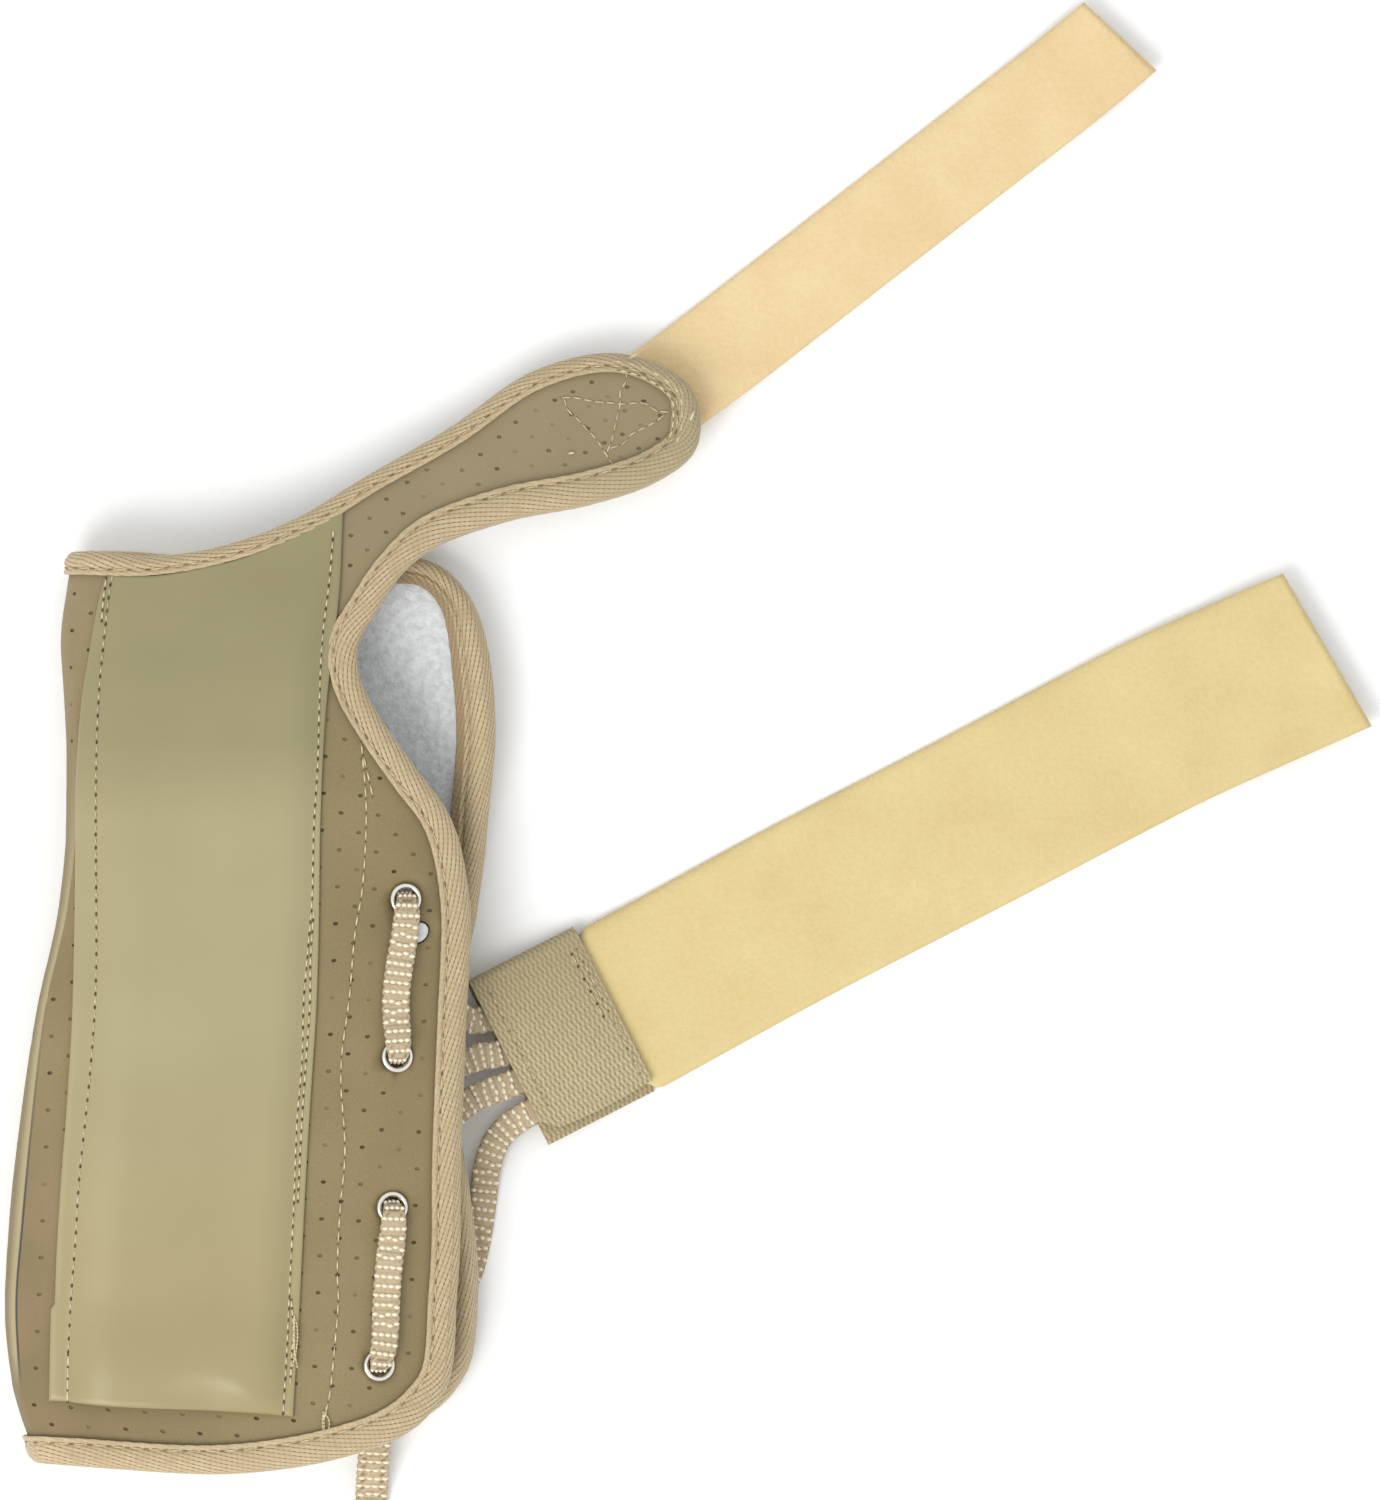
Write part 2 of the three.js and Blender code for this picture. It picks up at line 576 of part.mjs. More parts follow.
// Where the tab lies: its lace end raised, its strap end on the table
const tabFrom = new THREE.Vector3(57.6, -12.1, 7.2);
const tabTo = new THREE.Vector3(81.4, 0, 2.65);
const tabAlong = tabTo.clone().sub(tabFrom).normalize();
const tabAcross = new THREE.Vector3(-tabAlong.y, tabAlong.x, 0).normalize();
const tabUp = tabAlong.clone().cross(tabAcross);
const onTab = (along, across, up = 0) =>
  tabFrom
    .clone()
    .addScaledVector(tabAlong, along)
    .addScaledVector(tabAcross, across)
    .addScaledVector(tabUp, up);
const tabRow = (along, across, sign) => ({
  at: onTab(along, across),
  across: tabAcross.clone().multiplyScalar(sign),
  width: LACE.width,
  thick: LACE.thick,
});

// Upper lace: out of the tab, over the back half's edge, up eyelet 1, down eyelet 2 and back to the tab
const upperLace = [
  tabRow(8, 11.4, 1),
  tabRow(0, 11.4, 1),
  row(48.6, -2.2, 8.6, 0, 1),
  row(44.3, 0.4, 10.2, 0.5, 0.86),
  row(40.2, 7.5, 12.3, 0.87, 0.5),
  row(37.2, 14.6, 14.6, 0.93, 0.36),
  ...crossing(EYELETS[0], 0.25, -0.97, -0.06, -1, 1),
  row(33.2, 8.5, palmHeight(33.2, 8.5) + 1.5, 1, 0),
  row(32.6, 2, palmHeight(32.6, 2) + 1.4, 1, 0),
  ...crossing(EYELETS[1], 0.75, -0.66, -0.06, 1, 1).reverse(),
  row(41.4, -15.4, 12.8, 0.3, 0.95),
  row(46, -12.5, 10, -0.3, 0.95),
  row(51, -10.4, 8.4, -0.3, 0.95),
  tabRow(0, 2.9, 1),
  tabRow(8, 2.9, 1),
];
add("lace_upper", ribbon(upperLace, BRAID, 58), 0xbc9872, 0.85);

// Lower lace: out of the tab, up eyelet 3, along the top and down eyelet 4
const lastCrossing = crossing(EYELETS[3], 0, -1, 0.15, 1, -1).reverse().slice(0, 6);
const lowerLace = [
  tabRow(8, -4.2, 1),
  tabRow(0, -4.2, 1),
  row(49.6, -19.8, 8.7, -0.5, 0.86),
  row(45, -23.6, 10, -0.7, 0.7),
  row(40.2, -30.6, 12.4, -0.85, 0.53),
  row(37.2, -35.6, 14.9, -0.84, 0.54),
  ...crossing(EYELETS[2], 0.55, 0.83, -0.04, -1, -1),
  row(31.1, -56, palmHeight(31.1, -56) + 1.5, -1, 0),
  row(30.4, -66, palmHeight(30.4, -66) + 1.4, -1, 0),
  ...lastCrossing,
];
add("lace_lower", ribbon(lowerLace, BRAID, 44), 0xbc9872, 0.85);

// Free tail of the lower lace, from its end under eyelet 4 out of the forearm end
const [beforeEnd, laceEnd] = lastCrossing.slice(-2);
const downward = laceEnd.at.clone().sub(beforeEnd.at).normalize();
const belowEnd = (far) => ({ ...laceEnd, at: laceEnd.at.clone().addScaledVector(downward, far) });
const tail = [
  belowEnd(GAP),
  belowEnd(GAP + 1.2),
  row(28.7, -84.2, 14.6, -1, 0, 0, LACE),
  row(28.3, -88.6, 12, -1, 0, 0, TAIL),
  row(27.9, -93.4, 9.6, -1, 0, 0, TAIL),
  row(27.6, -98, 7.5, -1, 0, 0, TAIL),
  row(27.2, -103, 5, -1, 0, 0, TAIL),
  row(26.9, -108, 1.9, -1, 0, 0, TAIL),
  row(26.7, -112, 0.95, -1, 0, 0, TAIL),
  row(26.5, -122, 0.85, -1, 0, 0, TAIL),
];
add("lace_tail", ribbon(tail, BRAID, 18), 0xbc9872, 0.85);

// Short lace: from the tab round to under the back half's edge
const shortLace = [
  tabRow(8, -11.7, 1),
  tabRow(0.4, -11.7, 1),
  row(58.7, -25, 6, -0.45, 0.89),
  row(55, -28.8, 4.4, -0.75, 0.66),
  row(52.8, -34.4, 2.6, -0.97, 0.2),
  row(51.8, -42, 1.2, -1, 0.05),
  row(50.5, -51, 0.8, -0.98, 0.15),
  row(48.6, -58.6, 0.75, -0.92, 0.4),
  row(45.6, -64.2, 0.75, -0.8, 0.6),
  row(42.4, -67.6, 0.75, -0.7, 0.7),
];
add("lace_short", ribbon(shortLace, BRAID, 20), 0xbc9872, 0.85);

// Tab of webbing, folded over along its hand side with the laces and the strap between its layers
const TAB_ENDS = [
  { along: 0, upper: -14.3 },
  { along: 4, upper: -17.6 },
  { along: 16, upper: -18.2 },
  { along: TAB.length, upper: -17.6 },
];
const tabOuter = TAB.space / 2 + TAB.layer;
const tabInner = TAB.space / 2;
const foldFrom = TAB.fold - tabOuter;
const bend = [60, 30, 0, -30, -60].map(THREE.MathUtils.degToRad);
const tabRings = TAB_ENDS.map(({ along, upper }) => [
  onTab(along, upper, tabInner),
  onTab(along, upper, tabOuter),
  onTab(along, foldFrom, tabOuter),
  ...bend.map((a) => onTab(along, foldFrom + tabOuter * Math.cos(a), tabOuter * Math.sin(a))),
  onTab(along, foldFrom, -tabOuter),
  onTab(along, -TAB.low, -tabOuter),
  onTab(along, -TAB.low, -tabInner),
  onTab(along, foldFrom, -tabInner),
  ...bend.toReversed().map((a) => onTab(along, foldFrom + tabInner * Math.cos(a), tabInner * Math.sin(a))),
  onTab(along, foldFrom, tabInner),
]);
add("lace_tab", loft(tabRings.map((ring) => ring.toReversed())), 0xb09d74, 0.9);

// Wide closure strap, from inside the tab to its free end
const CLOSURE_ROWS = [
  { x: 81.6, y: -0.3, z: 2.65, slant: 0 },
  { x: 96.2, y: 7.7, z: 1.35, slant: 0 },
  { x: 120.2, y: 20.8, z: 1, slant: 0 },
  { x: 162.2, y: 42.5, z: 1, slant: 0 },
  { x: 190.2, y: 57.2, z: 1.5, slant: 0 },
  { x: 204.7, y: 64.6, z: 2.2, slant: 0 },
  { x: 222, y: 72.4, z: 3, slant: 0.02 },
  { x: 239.6, y: 80.1, z: 4.2, slant: 0.07 },
];
const strapStart = onTab(21, -0.6);
const closureRows = [strapStart, ...CLOSURE_ROWS].map(({ x, y, z, slant = 0 }) =>
  row(x, y, z, -0.45 - slant, 0.893, 0, CLOSURE),
);
add("closure_strap", ribbon(closureRows, BAND, 18, false), 0xecd898, 0.9);

// Narrow thumb strap, sewn under the end of the neck
const THUMB_ROWS = [
  { x: 72, y: 124.2, z: 5.1, tilt: -0.14 },
  { x: 93.1, y: 138.4, z: 3.3, tilt: -0.14 },
  { x: 104, y: 146.5, z: 2.1, tilt: -0.08 },
  { x: 114.4, y: 154.5, z: 1.2, tilt: -0.02 },
  { x: 140, y: 174.4, z: 0.85, tilt: 0 },
  { x: 165.6, y: 194.3, z: 1, tilt: 0 },
  { x: 182, y: 207, z: 2, tilt: 0 },
  { x: 193.3, y: 215.8, z: 3.4, tilt: 0 },
];
const thumbRows = THUMB_ROWS.map(({ x, y, z, tilt }) => row(x, y, z, -0.6, 0.8, tilt, THUMB));
add("thumb_strap", ribbon(thumbRows, BAND, 18, false), 0xf0d5a2, 0.9);

export default brace;
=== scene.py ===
# Lace-up wrist brace for a right hand, lying palm side up with its laces, tab and straps spread out.
# Tables hold millimetres in the part's frame: X to the laced side, Y to the hand end, Z up from the table.
import math

import bpy
import numpy as np
from mathutils.geometry import delaunay_2d_cdt
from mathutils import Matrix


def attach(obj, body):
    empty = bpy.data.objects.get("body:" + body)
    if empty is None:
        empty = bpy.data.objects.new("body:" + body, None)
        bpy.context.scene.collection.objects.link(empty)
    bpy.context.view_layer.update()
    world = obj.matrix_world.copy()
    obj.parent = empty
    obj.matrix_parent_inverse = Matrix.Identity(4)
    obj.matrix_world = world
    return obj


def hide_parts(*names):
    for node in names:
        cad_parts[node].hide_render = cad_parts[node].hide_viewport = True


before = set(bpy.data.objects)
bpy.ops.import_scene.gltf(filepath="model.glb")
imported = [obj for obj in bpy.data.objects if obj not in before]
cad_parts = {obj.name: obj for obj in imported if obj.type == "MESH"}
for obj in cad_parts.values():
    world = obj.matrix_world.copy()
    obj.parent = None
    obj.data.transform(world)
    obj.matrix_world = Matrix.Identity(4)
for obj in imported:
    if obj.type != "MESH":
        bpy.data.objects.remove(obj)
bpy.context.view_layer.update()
scene = bpy.context.scene

# Table, light and camera
# A white table in even daylight, with a wide soft light from the forearm side. The camera looks straight down
# from far away, so that the whole brace keeps one scale.
VIEW = {"x": 97.8, "y": 57.8, "height": 333.3, "away": 6000, "level": 12, "sensor": 36, "clip": 50000}
TABLE = {"half": 2000, "drop": 0.1}
DAYLIGHT = {"colour": (0.965, 0.988, 1, 1), "strength": 0.93}
WINDOW = {"at": (-550, -750, 1150), "turn": (38, 0, -38), "size": 900, "watts": 13}
WINDOW_COLOUR = (1, 0.985, 0.96)


def srgb(red, green, blue):
    """A colour given from 0 to 255, as the linear colour that shaders take."""
    shares = [channel / 255 for channel in (red, green, blue)]
    linear = [c / 12.92 if c <= 0.04045 else ((c + 0.055) / 1.055) ** 2.4 for c in shares]
    return (*linear, 1.0)


def new_finish(name, colour, **sockets):
    """A material of one principled shader."""
    material = bpy.data.materials.new(name)
    material.use_nodes = True
    shader = material.node_tree.nodes["Principled BSDF"]
    shader.inputs["Base Color"].default_value = colour
    for socket, value in sockets.items():
        shader.inputs[socket.replace("_", " ")].default_value = value
    return material


camera_lens = bpy.data.cameras.new("overhead")
camera_lens.sensor_width = VIEW["sensor"]
camera_lens.lens = VIEW["sensor"] * (VIEW["away"] - VIEW["level"]) / VIEW["height"]
camera_lens.clip_end = VIEW["clip"] / 1000
camera = bpy.data.objects.new("overhead", camera_lens)
camera.location = (VIEW["x"] / 1000, VIEW["y"] / 1000, VIEW["away"] / 1000)
scene.collection.objects.link(camera)
scene.camera = camera

table_half = TABLE["half"] / 1000
table_z = -TABLE["drop"] / 1000
table_signs = ((-1, -1), (1, -1), (1, 1), (-1, 1))
table_corners = [(x * table_half, y * table_half, table_z) for x, y in table_signs]
table_mesh = bpy.data.meshes.new("table")
table_mesh.from_pydata(table_corners, [], [(0, 1, 2, 3)])
table_mesh.materials.append(new_finish("white table", (0.95, 0.95, 0.952, 1), Roughness=0.6))
table = bpy.data.objects.new("table", table_mesh)
scene.collection.objects.link(table)

room = bpy.data.worlds.new("daylight room")
room.use_nodes = True
room.node_tree.nodes["Background"].inputs["Color"].default_value = DAYLIGHT["colour"]
room.node_tree.nodes["Background"].inputs["Strength"].default_value = DAYLIGHT["strength"]
scene.world = room
window_light = bpy.data.lights.new("window", "AREA")
window_light.size = WINDOW["size"] / 1000
window_light.energy = WINDOW["watts"]
window_light.color = WINDOW_COLOUR
window = bpy.data.objects.new("window", window_light)
window.location = [along / 1000 for along in WINDOW["at"]]
window.rotation_euler = [math.radians(turn) for turn in WINDOW["turn"]]
scene.collection.objects.link(window)
scene.view_settings.view_transform = "Standard"

# Body wrap
# One sheet of leatherette bonded to foam, folded on the little-finger side: the palm half on top, the back
# half on the table. It is punched all over with small air holes, and its lace edge has the eyelets' holes.
WRAP = {"wall": 2.4, "edge": 1.25, "outer_step": 3.2, "inner_step": 6.5, "hem_step": 2.2}
# Sections across the sleeve: the fold's outmost x, the crease over it, the palm half's height, how far it
# droops at the lace edge and from where, and how far the back half's free edge rises
SLEEVE_COLUMNS = ("y", "fold", "crease", "top", "droop", "seam", "rise")
SLEEVE_ROWS = [
    (-103, -45.2, -43.8, 24, 5, 9.2, 3),
    (-94, -49, -47.5, 24.5, 5.3, 9.6, 4),
    (-82, -52.4, -50.9, 25, 5.8, 10.3, 5.5),
    (-66, -54, -51.9, 25.6, 6.2, 11.2, 7.5),
    (-47, -53.1, -50.5, 26.3, 6.5, 12.2, 8),
    (-20, -50, -47.8, 26.9, 6.5, 13.7, 5),
    (0, -46.8, -45.2, 27, 6.5, 15, 5),
    (24, -41.8, -40, 26.6, 6, 15.6, 6),
    (40, -40.4, -38.4, 25.6, 5.2, 15.8, 8),
    (56, -40.3, -38.2, 23.7, 4, 16.4, 9),
    (70, -40.9, -38.9, 21.3, 2, 16.6, 9),
    (82, -41.6, -39.7, 19.1, 0.5, 16.9, 7.5),
    (95, -40, -38.5, 17.8, 0, 19.4, 4.5),
    (104, -38.8, -37.5, 16.6, 0, 20.6, 3),
    (118, -40, -38.6, 13.4, 0, 20.8, 3),
    (132, -40, -38.6, 10.8, 0, 20.8, 3),
    (148, -40, -38.6, 8.5, 0, 20.8, 3),
]
SLEEVE = dict(zip(SLEEVE_COLUMNS, zip(*SLEEVE_ROWS)))
PALM = {"round_run": 9, "round_drop": 2.5, "droop_run": 33}
BACK = {"lift_from": 12, "lift_run": 40, "end_lift": 1.4, "end_from": 72, "end_run": 16}
FOLD = {"base": 11, "shoulder": 0.7, "steps": 41}
# Rows of x, y and the width of binding tape that shows, round the palm half from the fold at the forearm end
PALM_EDGE = [
    (-36, -101.3, 6.6), (-7, -102.9, 6.6), (11, -101.3, 6.6), (24.5, -98.2, 6.6), (33.5, -94.8, 6.6),
    (40, -89.8, 6.6), (44.4, -82, 6.6), (46.2, -62, 6.6), (47, -33, 6.6), (48.4, 2, 6.6), (49.1, 15, 6.6),
    (47.8, 33.3, 6.6), (44, 44.5, 6.6), (37, 54, 6.6), (29.5, 64.6, 6.6), (24.9, 73.3, 6.6), (24.2, 81, 6.6),
    (27.8, 88, 6.6), (34.3, 97.5, 6.6), (41, 103, 6.6), (57.8, 109.3, 6.6), (75.6, 112.9, 6.6),
    (90, 117.7, 6.6), (98.5, 124, 6.6), (100.2, 130.5, 6.6), (98, 138.5, 5.6), (90, 144, 4.8),
    (79, 146.2, 4.5), (62.2, 141.8, 4.5), (44.4, 129.6, 4.5), (26.7, 119.3, 4.3), (11, 109.8, 4.2),
    (-6.7, 103.1, 4.1), (-22, 101, 4.6), (-36, 102.2, 5.6),
]
BACK_EDGE = [
    (-12, 100.8, 6.6), (8, 100.5, 6.6), (30, 101.3, 6.6), (42, 98.8, 5.4), (49.5, 91, 5.6), (53.6, 78, 6.6),
    (54.8, 62, 6.6), (52.8, 38, 6.6), (49.9, 18, 6.6), (46.2, 4, 6.6), (45.4, -10, 6.6), (46.4, -25, 6.6),
    (49, -40, 6.6), (51, -61, 6.6), (49.8, -76, 6.6), (45, -85.6, 6.6), (34, -93.2, 6.6), (12, -98.6, 6.6),
    (-18, -100, 6.6),
]
# Where the cut edge crosses the fold, and the tape's width there
FOLD_ENDS = {"forearm": (-100.8, 6.6), "hand": (102, 5.4)}
EDGE_FINE = 80
# The eyelets' holes and the punched one: radius, and how far the air holes keep from the middle
EYELET_HOLES = [(34.7, 24.7), (32.8, -10.2), (31.7, -43.6), (28.8, -78.7)]
EYELET_HOLE = (3.05, 4.9)
PUNCHED_HOLE = (37.6, 17.3, 2.6, 3.6)
BIG_HOLE_SIDES = 28
# Air holes stand on a centred square lattice, given by one hole and two steps. On the neck their rows bend
# with it, given by one row and the step to the next.
AIR_HOLE = {"radius": 0.58, "squash": 0.72, "depth": 0.42, "taper": 0.72, "sides": 8, "edge": 0.9, "seed": 7}
AIR_GUARD = {"radius": 0.86, "squash": 0.8, "clear": 0.45}
AIR_HOLES = {"hole": (17.33, -21.56), "step": (8.22, -0.49), "other": (-0.39, -8.18), "reach": 40}
NECK_ROW = [
    (22.4, 98.8), (26.2, 102.3), (30.4, 106.2), (34.1, 110.4), (38.7, 114.2), (43, 117), (47.2, 120),
    (51.3, 123.5), (55.4, 127.4), (59.1, 130.7), (63.6, 133.4), (67.8, 135.6), (71.8, 137.5), (76, 139.6),
    (80.2, 141.7), (84.4, 143.8),
]
NECK_STEP = (3.67, -3.16)
NECK_ROWS = range(-8, 12)
# Where the holes are: the neck starts at an x and a y, and the others are bounds across the flat sheet
AIR_ZONES = {"neck": (21, 97), "palm": 1.3, "fold": -4, "fold_from": 55, "back": -6.5, "back_shift": 45}
POCKET_COVER = {"y": (-87, 2, 96), "x": (-43, -38, -31), "from": -85, "seam": 1}
OPENNESS = {"share": (0.3, 0.55, 0.8, 1.0), "often": (0.25, 0.3, 0.27, 0.18)}
# The groove along the crease, and the lines of points that carry it
CREASE = {"from": -86, "start": 14, "to": 2, "stop": 50, "depth": 0.5, "width": 0.5}
CREASE_LINES = {"u": (-1.7, -0.9, -0.4, 0, 0.4, 0.9, 1.7), "v": (-97, 99), "step": 2.4, "band": 2.4}
SHEET = {"u": (-130, 150), "v": (-110, 152), "edge": 1.2, "hole": 0.8}


def smoothstep(value):
    """0 below 0, 1 above 1 and an even S between."""
    share = np.clip(value, 0, 1)
    return share * share * (3 - 2 * share)


def dip(depth, reach, away):
    """A soft dip at a distance from its middle."""
    return depth * np.exp(-((away / reach) ** 2))


def steady(at, value, y):
    """A table's column as a smooth line that never swings past its rows."""
    at = np.array(at, float)
    value = np.array(value, float)
    step = np.diff(value) / np.diff(at)
    same = step[:-1] * step[1:] > 0
    total = np.where(same, step[:-1] + step[1:], 1)
    slope = np.concatenate([step[:1], np.where(same, 2 * step[:-1] * step[1:] / total, 0), step[-1:]])
    y = np.clip(y, at[0], at[-1])
    i = np.clip(np.searchsorted(at, y) - 1, 0, len(at) - 2)
    span = at[i + 1] - at[i]
    t = (y - at[i]) / span
    rest = 1 - t
    ends = value[i] * rest * rest * (1 + 2 * t) + value[i + 1] * t * t * (3 - 2 * t)
    return ends + span * t * rest * (slope[i] * rest - slope[i + 1] * t)


def sleeve(key, y):
    """One column of the sleeve's table at y."""
    return steady(SLEEVE["y"], SLEEVE[key], y)


def palm_height(x, y):
    """Outer height of the palm half over the table."""
    round_off = np.maximum(0, 1 - (x - sleeve("crease", y)) / PALM["round_run"])
    to_edge = np.clip((x - sleeve("seam", y)) / PALM["droop_run"], 0, 1)
    return sleeve("top", y) - PALM["round_drop"] * round_off**2 - sleeve("droop", y) * to_edge**2


def back_height(x, y):
    """Outer height of the back half over the table: its ends and its free edge rise a little."""
    lift = np.maximum(0, (x - BACK["lift_from"]) / BACK["lift_run"])
    end = smoothstep((np.abs(y) - BACK["end_from"]) / BACK["end_run"])
    return BACK["end_lift"] * end + sleeve("rise", y) * lift**3


def folded_side(y):
    """The folded side at each y, from the crease down to the table: x, z, the run along it and its base."""
    crease = sleeve("crease", y)
    base = sleeve("fold", y) + FOLD["base"]
    bulge = (sleeve("fold", y) - (crease + base) / 8) / 0.75
    high = palm_height(crease, y)
    low = back_height(base, y)
    shoulder = low + FOLD["shoulder"] * (high - low)
    t = np.linspace(0, 1, FOLD["steps"])
    r = 1 - t
    x = np.outer(crease, r**3) + 3 * np.outer(bulge, r * r * t + r * t * t) + np.outer(base, t**3)
    z = np.outer(high, r**3) + 3 * np.outer(shoulder, r * r * t) + np.outer(low, 3 * r * t * t + t**3)
    run = np.cumsum(np.hypot(np.diff(x), np.diff(z)), axis=1)
    return x, z, np.hstack([np.zeros((len(run), 1)), run]), base


def skin(u, v):
    """The wrap's outer face as it lies: u across the flat sheet from the crease, v along it."""
    u, v = (np.array(a, float).ravel() for a in np.broadcast_arrays(u, v))
    x = sleeve("crease", v) + u
    z = palm_height(x, v)
    under = np.flatnonzero(u < 0)
    if len(under):
        side_x, side_z, run, base = folded_side(v[under])
        far = -u[under]
        i = np.clip((run <= far[:, None]).sum(1) - 1, 0, run.shape[1] - 2)
        row = np.arange(len(far))
        share = np.clip((far - run[row, i]) / (run[row, i + 1] - run[row, i]), 0, 1)
        flat_x = base + far - run[:, -1]
        past = far > run[:, -1]
        x[under] = np.where(past, flat_x, side_x[row, i] + share * (side_x[row, i + 1] - side_x[row, i]))
        curved_z = side_z[row, i] + share * (side_z[row, i + 1] - side_z[row, i])
        z[under] = np.where(past, back_height(flat_x, v[under]), curved_z)
    return np.stack([x, v, z], axis=1)


def outward(u, v, reach=0.4):
    """The way out of the wrap's outer face."""
    across = skin(u + reach, v) - skin(u - reach, v)
    along = skin(u, v + reach) - skin(u, v - reach)
    way = np.cross(across, along)
    return way / np.linalg.norm(way, axis=1, keepdims=True)


def place(u, v, lift):
    """A point over, or under, the wrap's outer face."""
    return skin(u, v) + outward(u, v) * np.broadcast_to(lift, np.shape(u))[:, None]


def palm_u(x, y):
    """How far across the flat sheet a point of the palm half is."""
    return x - sleeve("crease", y)


def spline(points, at, closed=False, tension=None):
    """A curve through points, at places counted in points; a tension makes it an even one."""
    points = np.asarray(points, float)
    at = np.asarray(at, float)
    n = len(points)
    i = np.floor(at).astype(int)
    if closed:
        p0, p1, p2, p3 = (points[(i + k) % n] for k in (-1, 0, 1, 2))
    else:
        i = np.clip(i, 0, n - 2)
        longer = np.vstack([2 * points[0] - points[1], points, 2 * points[-1] - points[-2]])
        p0, p1, p2, p3 = (longer[i + k] for k in (0, 1, 2, 3))
    t = (at - i)[:, None]
    if tension is None:
        pairs = ((p0, p1), (p1, p2), (p2, p3))
        d0, d1, d2 = (np.maximum(np.linalg.norm(b - a, axis=1), 1e-6)[:, None] ** 0.5 for a, b in pairs)
        m1 = ((p1 - p0) / d0 - (p2 - p0) / (d0 + d1) + (p2 - p1) / d1) * d1
        m2 = ((p2 - p1) / d1 - (p3 - p1) / (d1 + d2) + (p3 - p2) / d2) * d1
    else:
        m1 = tension * (p2 - p0)
        m2 = tension * (p3 - p1)
    return p1 + m1 * t + (3 * (p2 - p1) - 2 * m1 - m2) * t**2 + (2 * (p1 - p2) + m1 + m2) * t**3


def run_along(line):
    """How far along a line each of its points is."""
    return np.concatenate([[0], np.cumsum(np.linalg.norm(np.diff(line, axis=0), axis=1))])


def sampled(goals, run, values):
    """Values along a line, at places on its run."""
    return np.stack([np.interp(goals, run, column) for column in values.T], axis=1)


def evenly(line, step, closed=False):
    """A line's points an even step apart, with each one's run along it."""
    line = np.vstack([line, line[:1]]) if closed else np.asarray(line, float)
    run = run_along(line)
    goal = np.linspace(0, run[-1], max(2, round(run[-1] / step)) + 1)
    goal = goal[:-1] if closed else goal
    return sampled(goal, run, line), goal


def cut_edge(step):
    """The cut edge of the flat sheet in even steps: u, v, tape width, the way into the sheet and the run."""
    palm = np.array(PALM_EDGE, float)
    back = np.array(BACK_EDGE, float)
    forearm, hand = FOLD_ENDS["forearm"], FOLD_ENDS["hand"]
    forearm_side, hand_side = -folded_side(np.array([forearm[0], hand[0]]))[2][:, -1]
    _, _, back_run, back_base = folded_side(back[:, 1])
    palm[:, 0] = palm_u(palm[:, 0], palm[:, 1])
    back[:, 0] = back_base - back[:, 0] - back_run[:, -1]
    knots = np.vstack([(0, *forearm), palm, (0, *hand), (hand_side, *hand), back, (forearm_side, *forearm)])
    fine = spline(knots, np.arange(0, len(knots), 1 / EDGE_FINE), closed=True)
    points, run = evenly(fine, step, closed=True)
    along = np.roll(points, -1, axis=0) - np.roll(points, 1, axis=0)
    along = along[:, :2] / np.linalg.norm(along[:, :2], axis=1, keepdims=True)
    return points[:, 0], points[:, 1], points[:, 2], np.stack([-along[:, 1], along[:, 0]], axis=1), run


def inset(edge, depth):
    """Points of the flat sheet a depth in from its cut edge."""
    u, v, _, way_in, _ = edge
    depth = np.broadcast_to(depth, u.shape)[:, None]
    return np.stack([u, v], axis=1) + depth * way_in


def within(ring, points):
    """Which points are inside a closed ring."""
    a = ring
    b = np.roll(ring, -1, axis=0)
    u, v = points[:, :1], points[:, 1:2]
    spans = (a[:, 1] > v) != (b[:, 1] > v)
    rise = np.where(np.abs(b[:, 1] - a[:, 1]) < 1e-12, 1e-12, b[:, 1] - a[:, 1])
    crossing = a[:, 0] + (b[:, 0] - a[:, 0]) * (v - a[:, 1]) / rise
    return (spans & (u < crossing)).sum(axis=1) % 2 == 1


def circle(u, v, radius, sides, squash=1.0):
    """A ring of points round a point of the flat sheet, squashed along it or round."""
    turn = np.arange(sides) * 2 * math.pi / sides
    return np.stack([u + radius * np.cos(turn), v + squash * radius * np.sin(turn)], axis=1)


def sheet_faces(rings, loose):
    """Triangles of the flat sheet inside its first ring, with its other rings left open."""
    counts = [len(ring) for ring in rings]
    starts = np.concatenate([[0], np.cumsum(counts)])
    edges = [(s + k, s + (k + 1) % n) for s, n in zip(starts, counts) for k in range(n)]
    points = np.vstack([*rings, loose])
    made = delaunay_2d_cdt([tuple(p) for p in points], edges, [], 1, 1e-7)
    owner = np.full(len(made[0]), -1)
    order = np.full(len(made[0]), -1)
    ring_of = np.concatenate([np.repeat(np.arange(len(rings)), counts), np.full(len(loose), -1)])
    for new, old in enumerate(made[3]):
        if old:
            owner[new] = ring_of[old[0]]
            order[new] = old[0]
    faces = np.array(made[2])
    same = (owner[faces] == owner[faces[:, :1]]).all(axis=1) & (owner[faces[:, 0]] > 0)
    place_of = np.empty(len(points), int)
    place_of[order[order >= 0]] = np.flatnonzero(order >= 0)
    ring_places = [place_of[s:s + n] for s, n in zip(starts, counts)]
    return np.array(made[0]), faces[~same], ring_places


def wall_faces(upper, lower, hole=False):
    """The faces between two rings of points, round a sheet or round a hole in it."""
    walls = np.stack([upper, lower, np.roll(lower, -1), np.roll(upper, -1)], axis=1)
    return (walls[:, ::-1] if hole else walls).tolist()


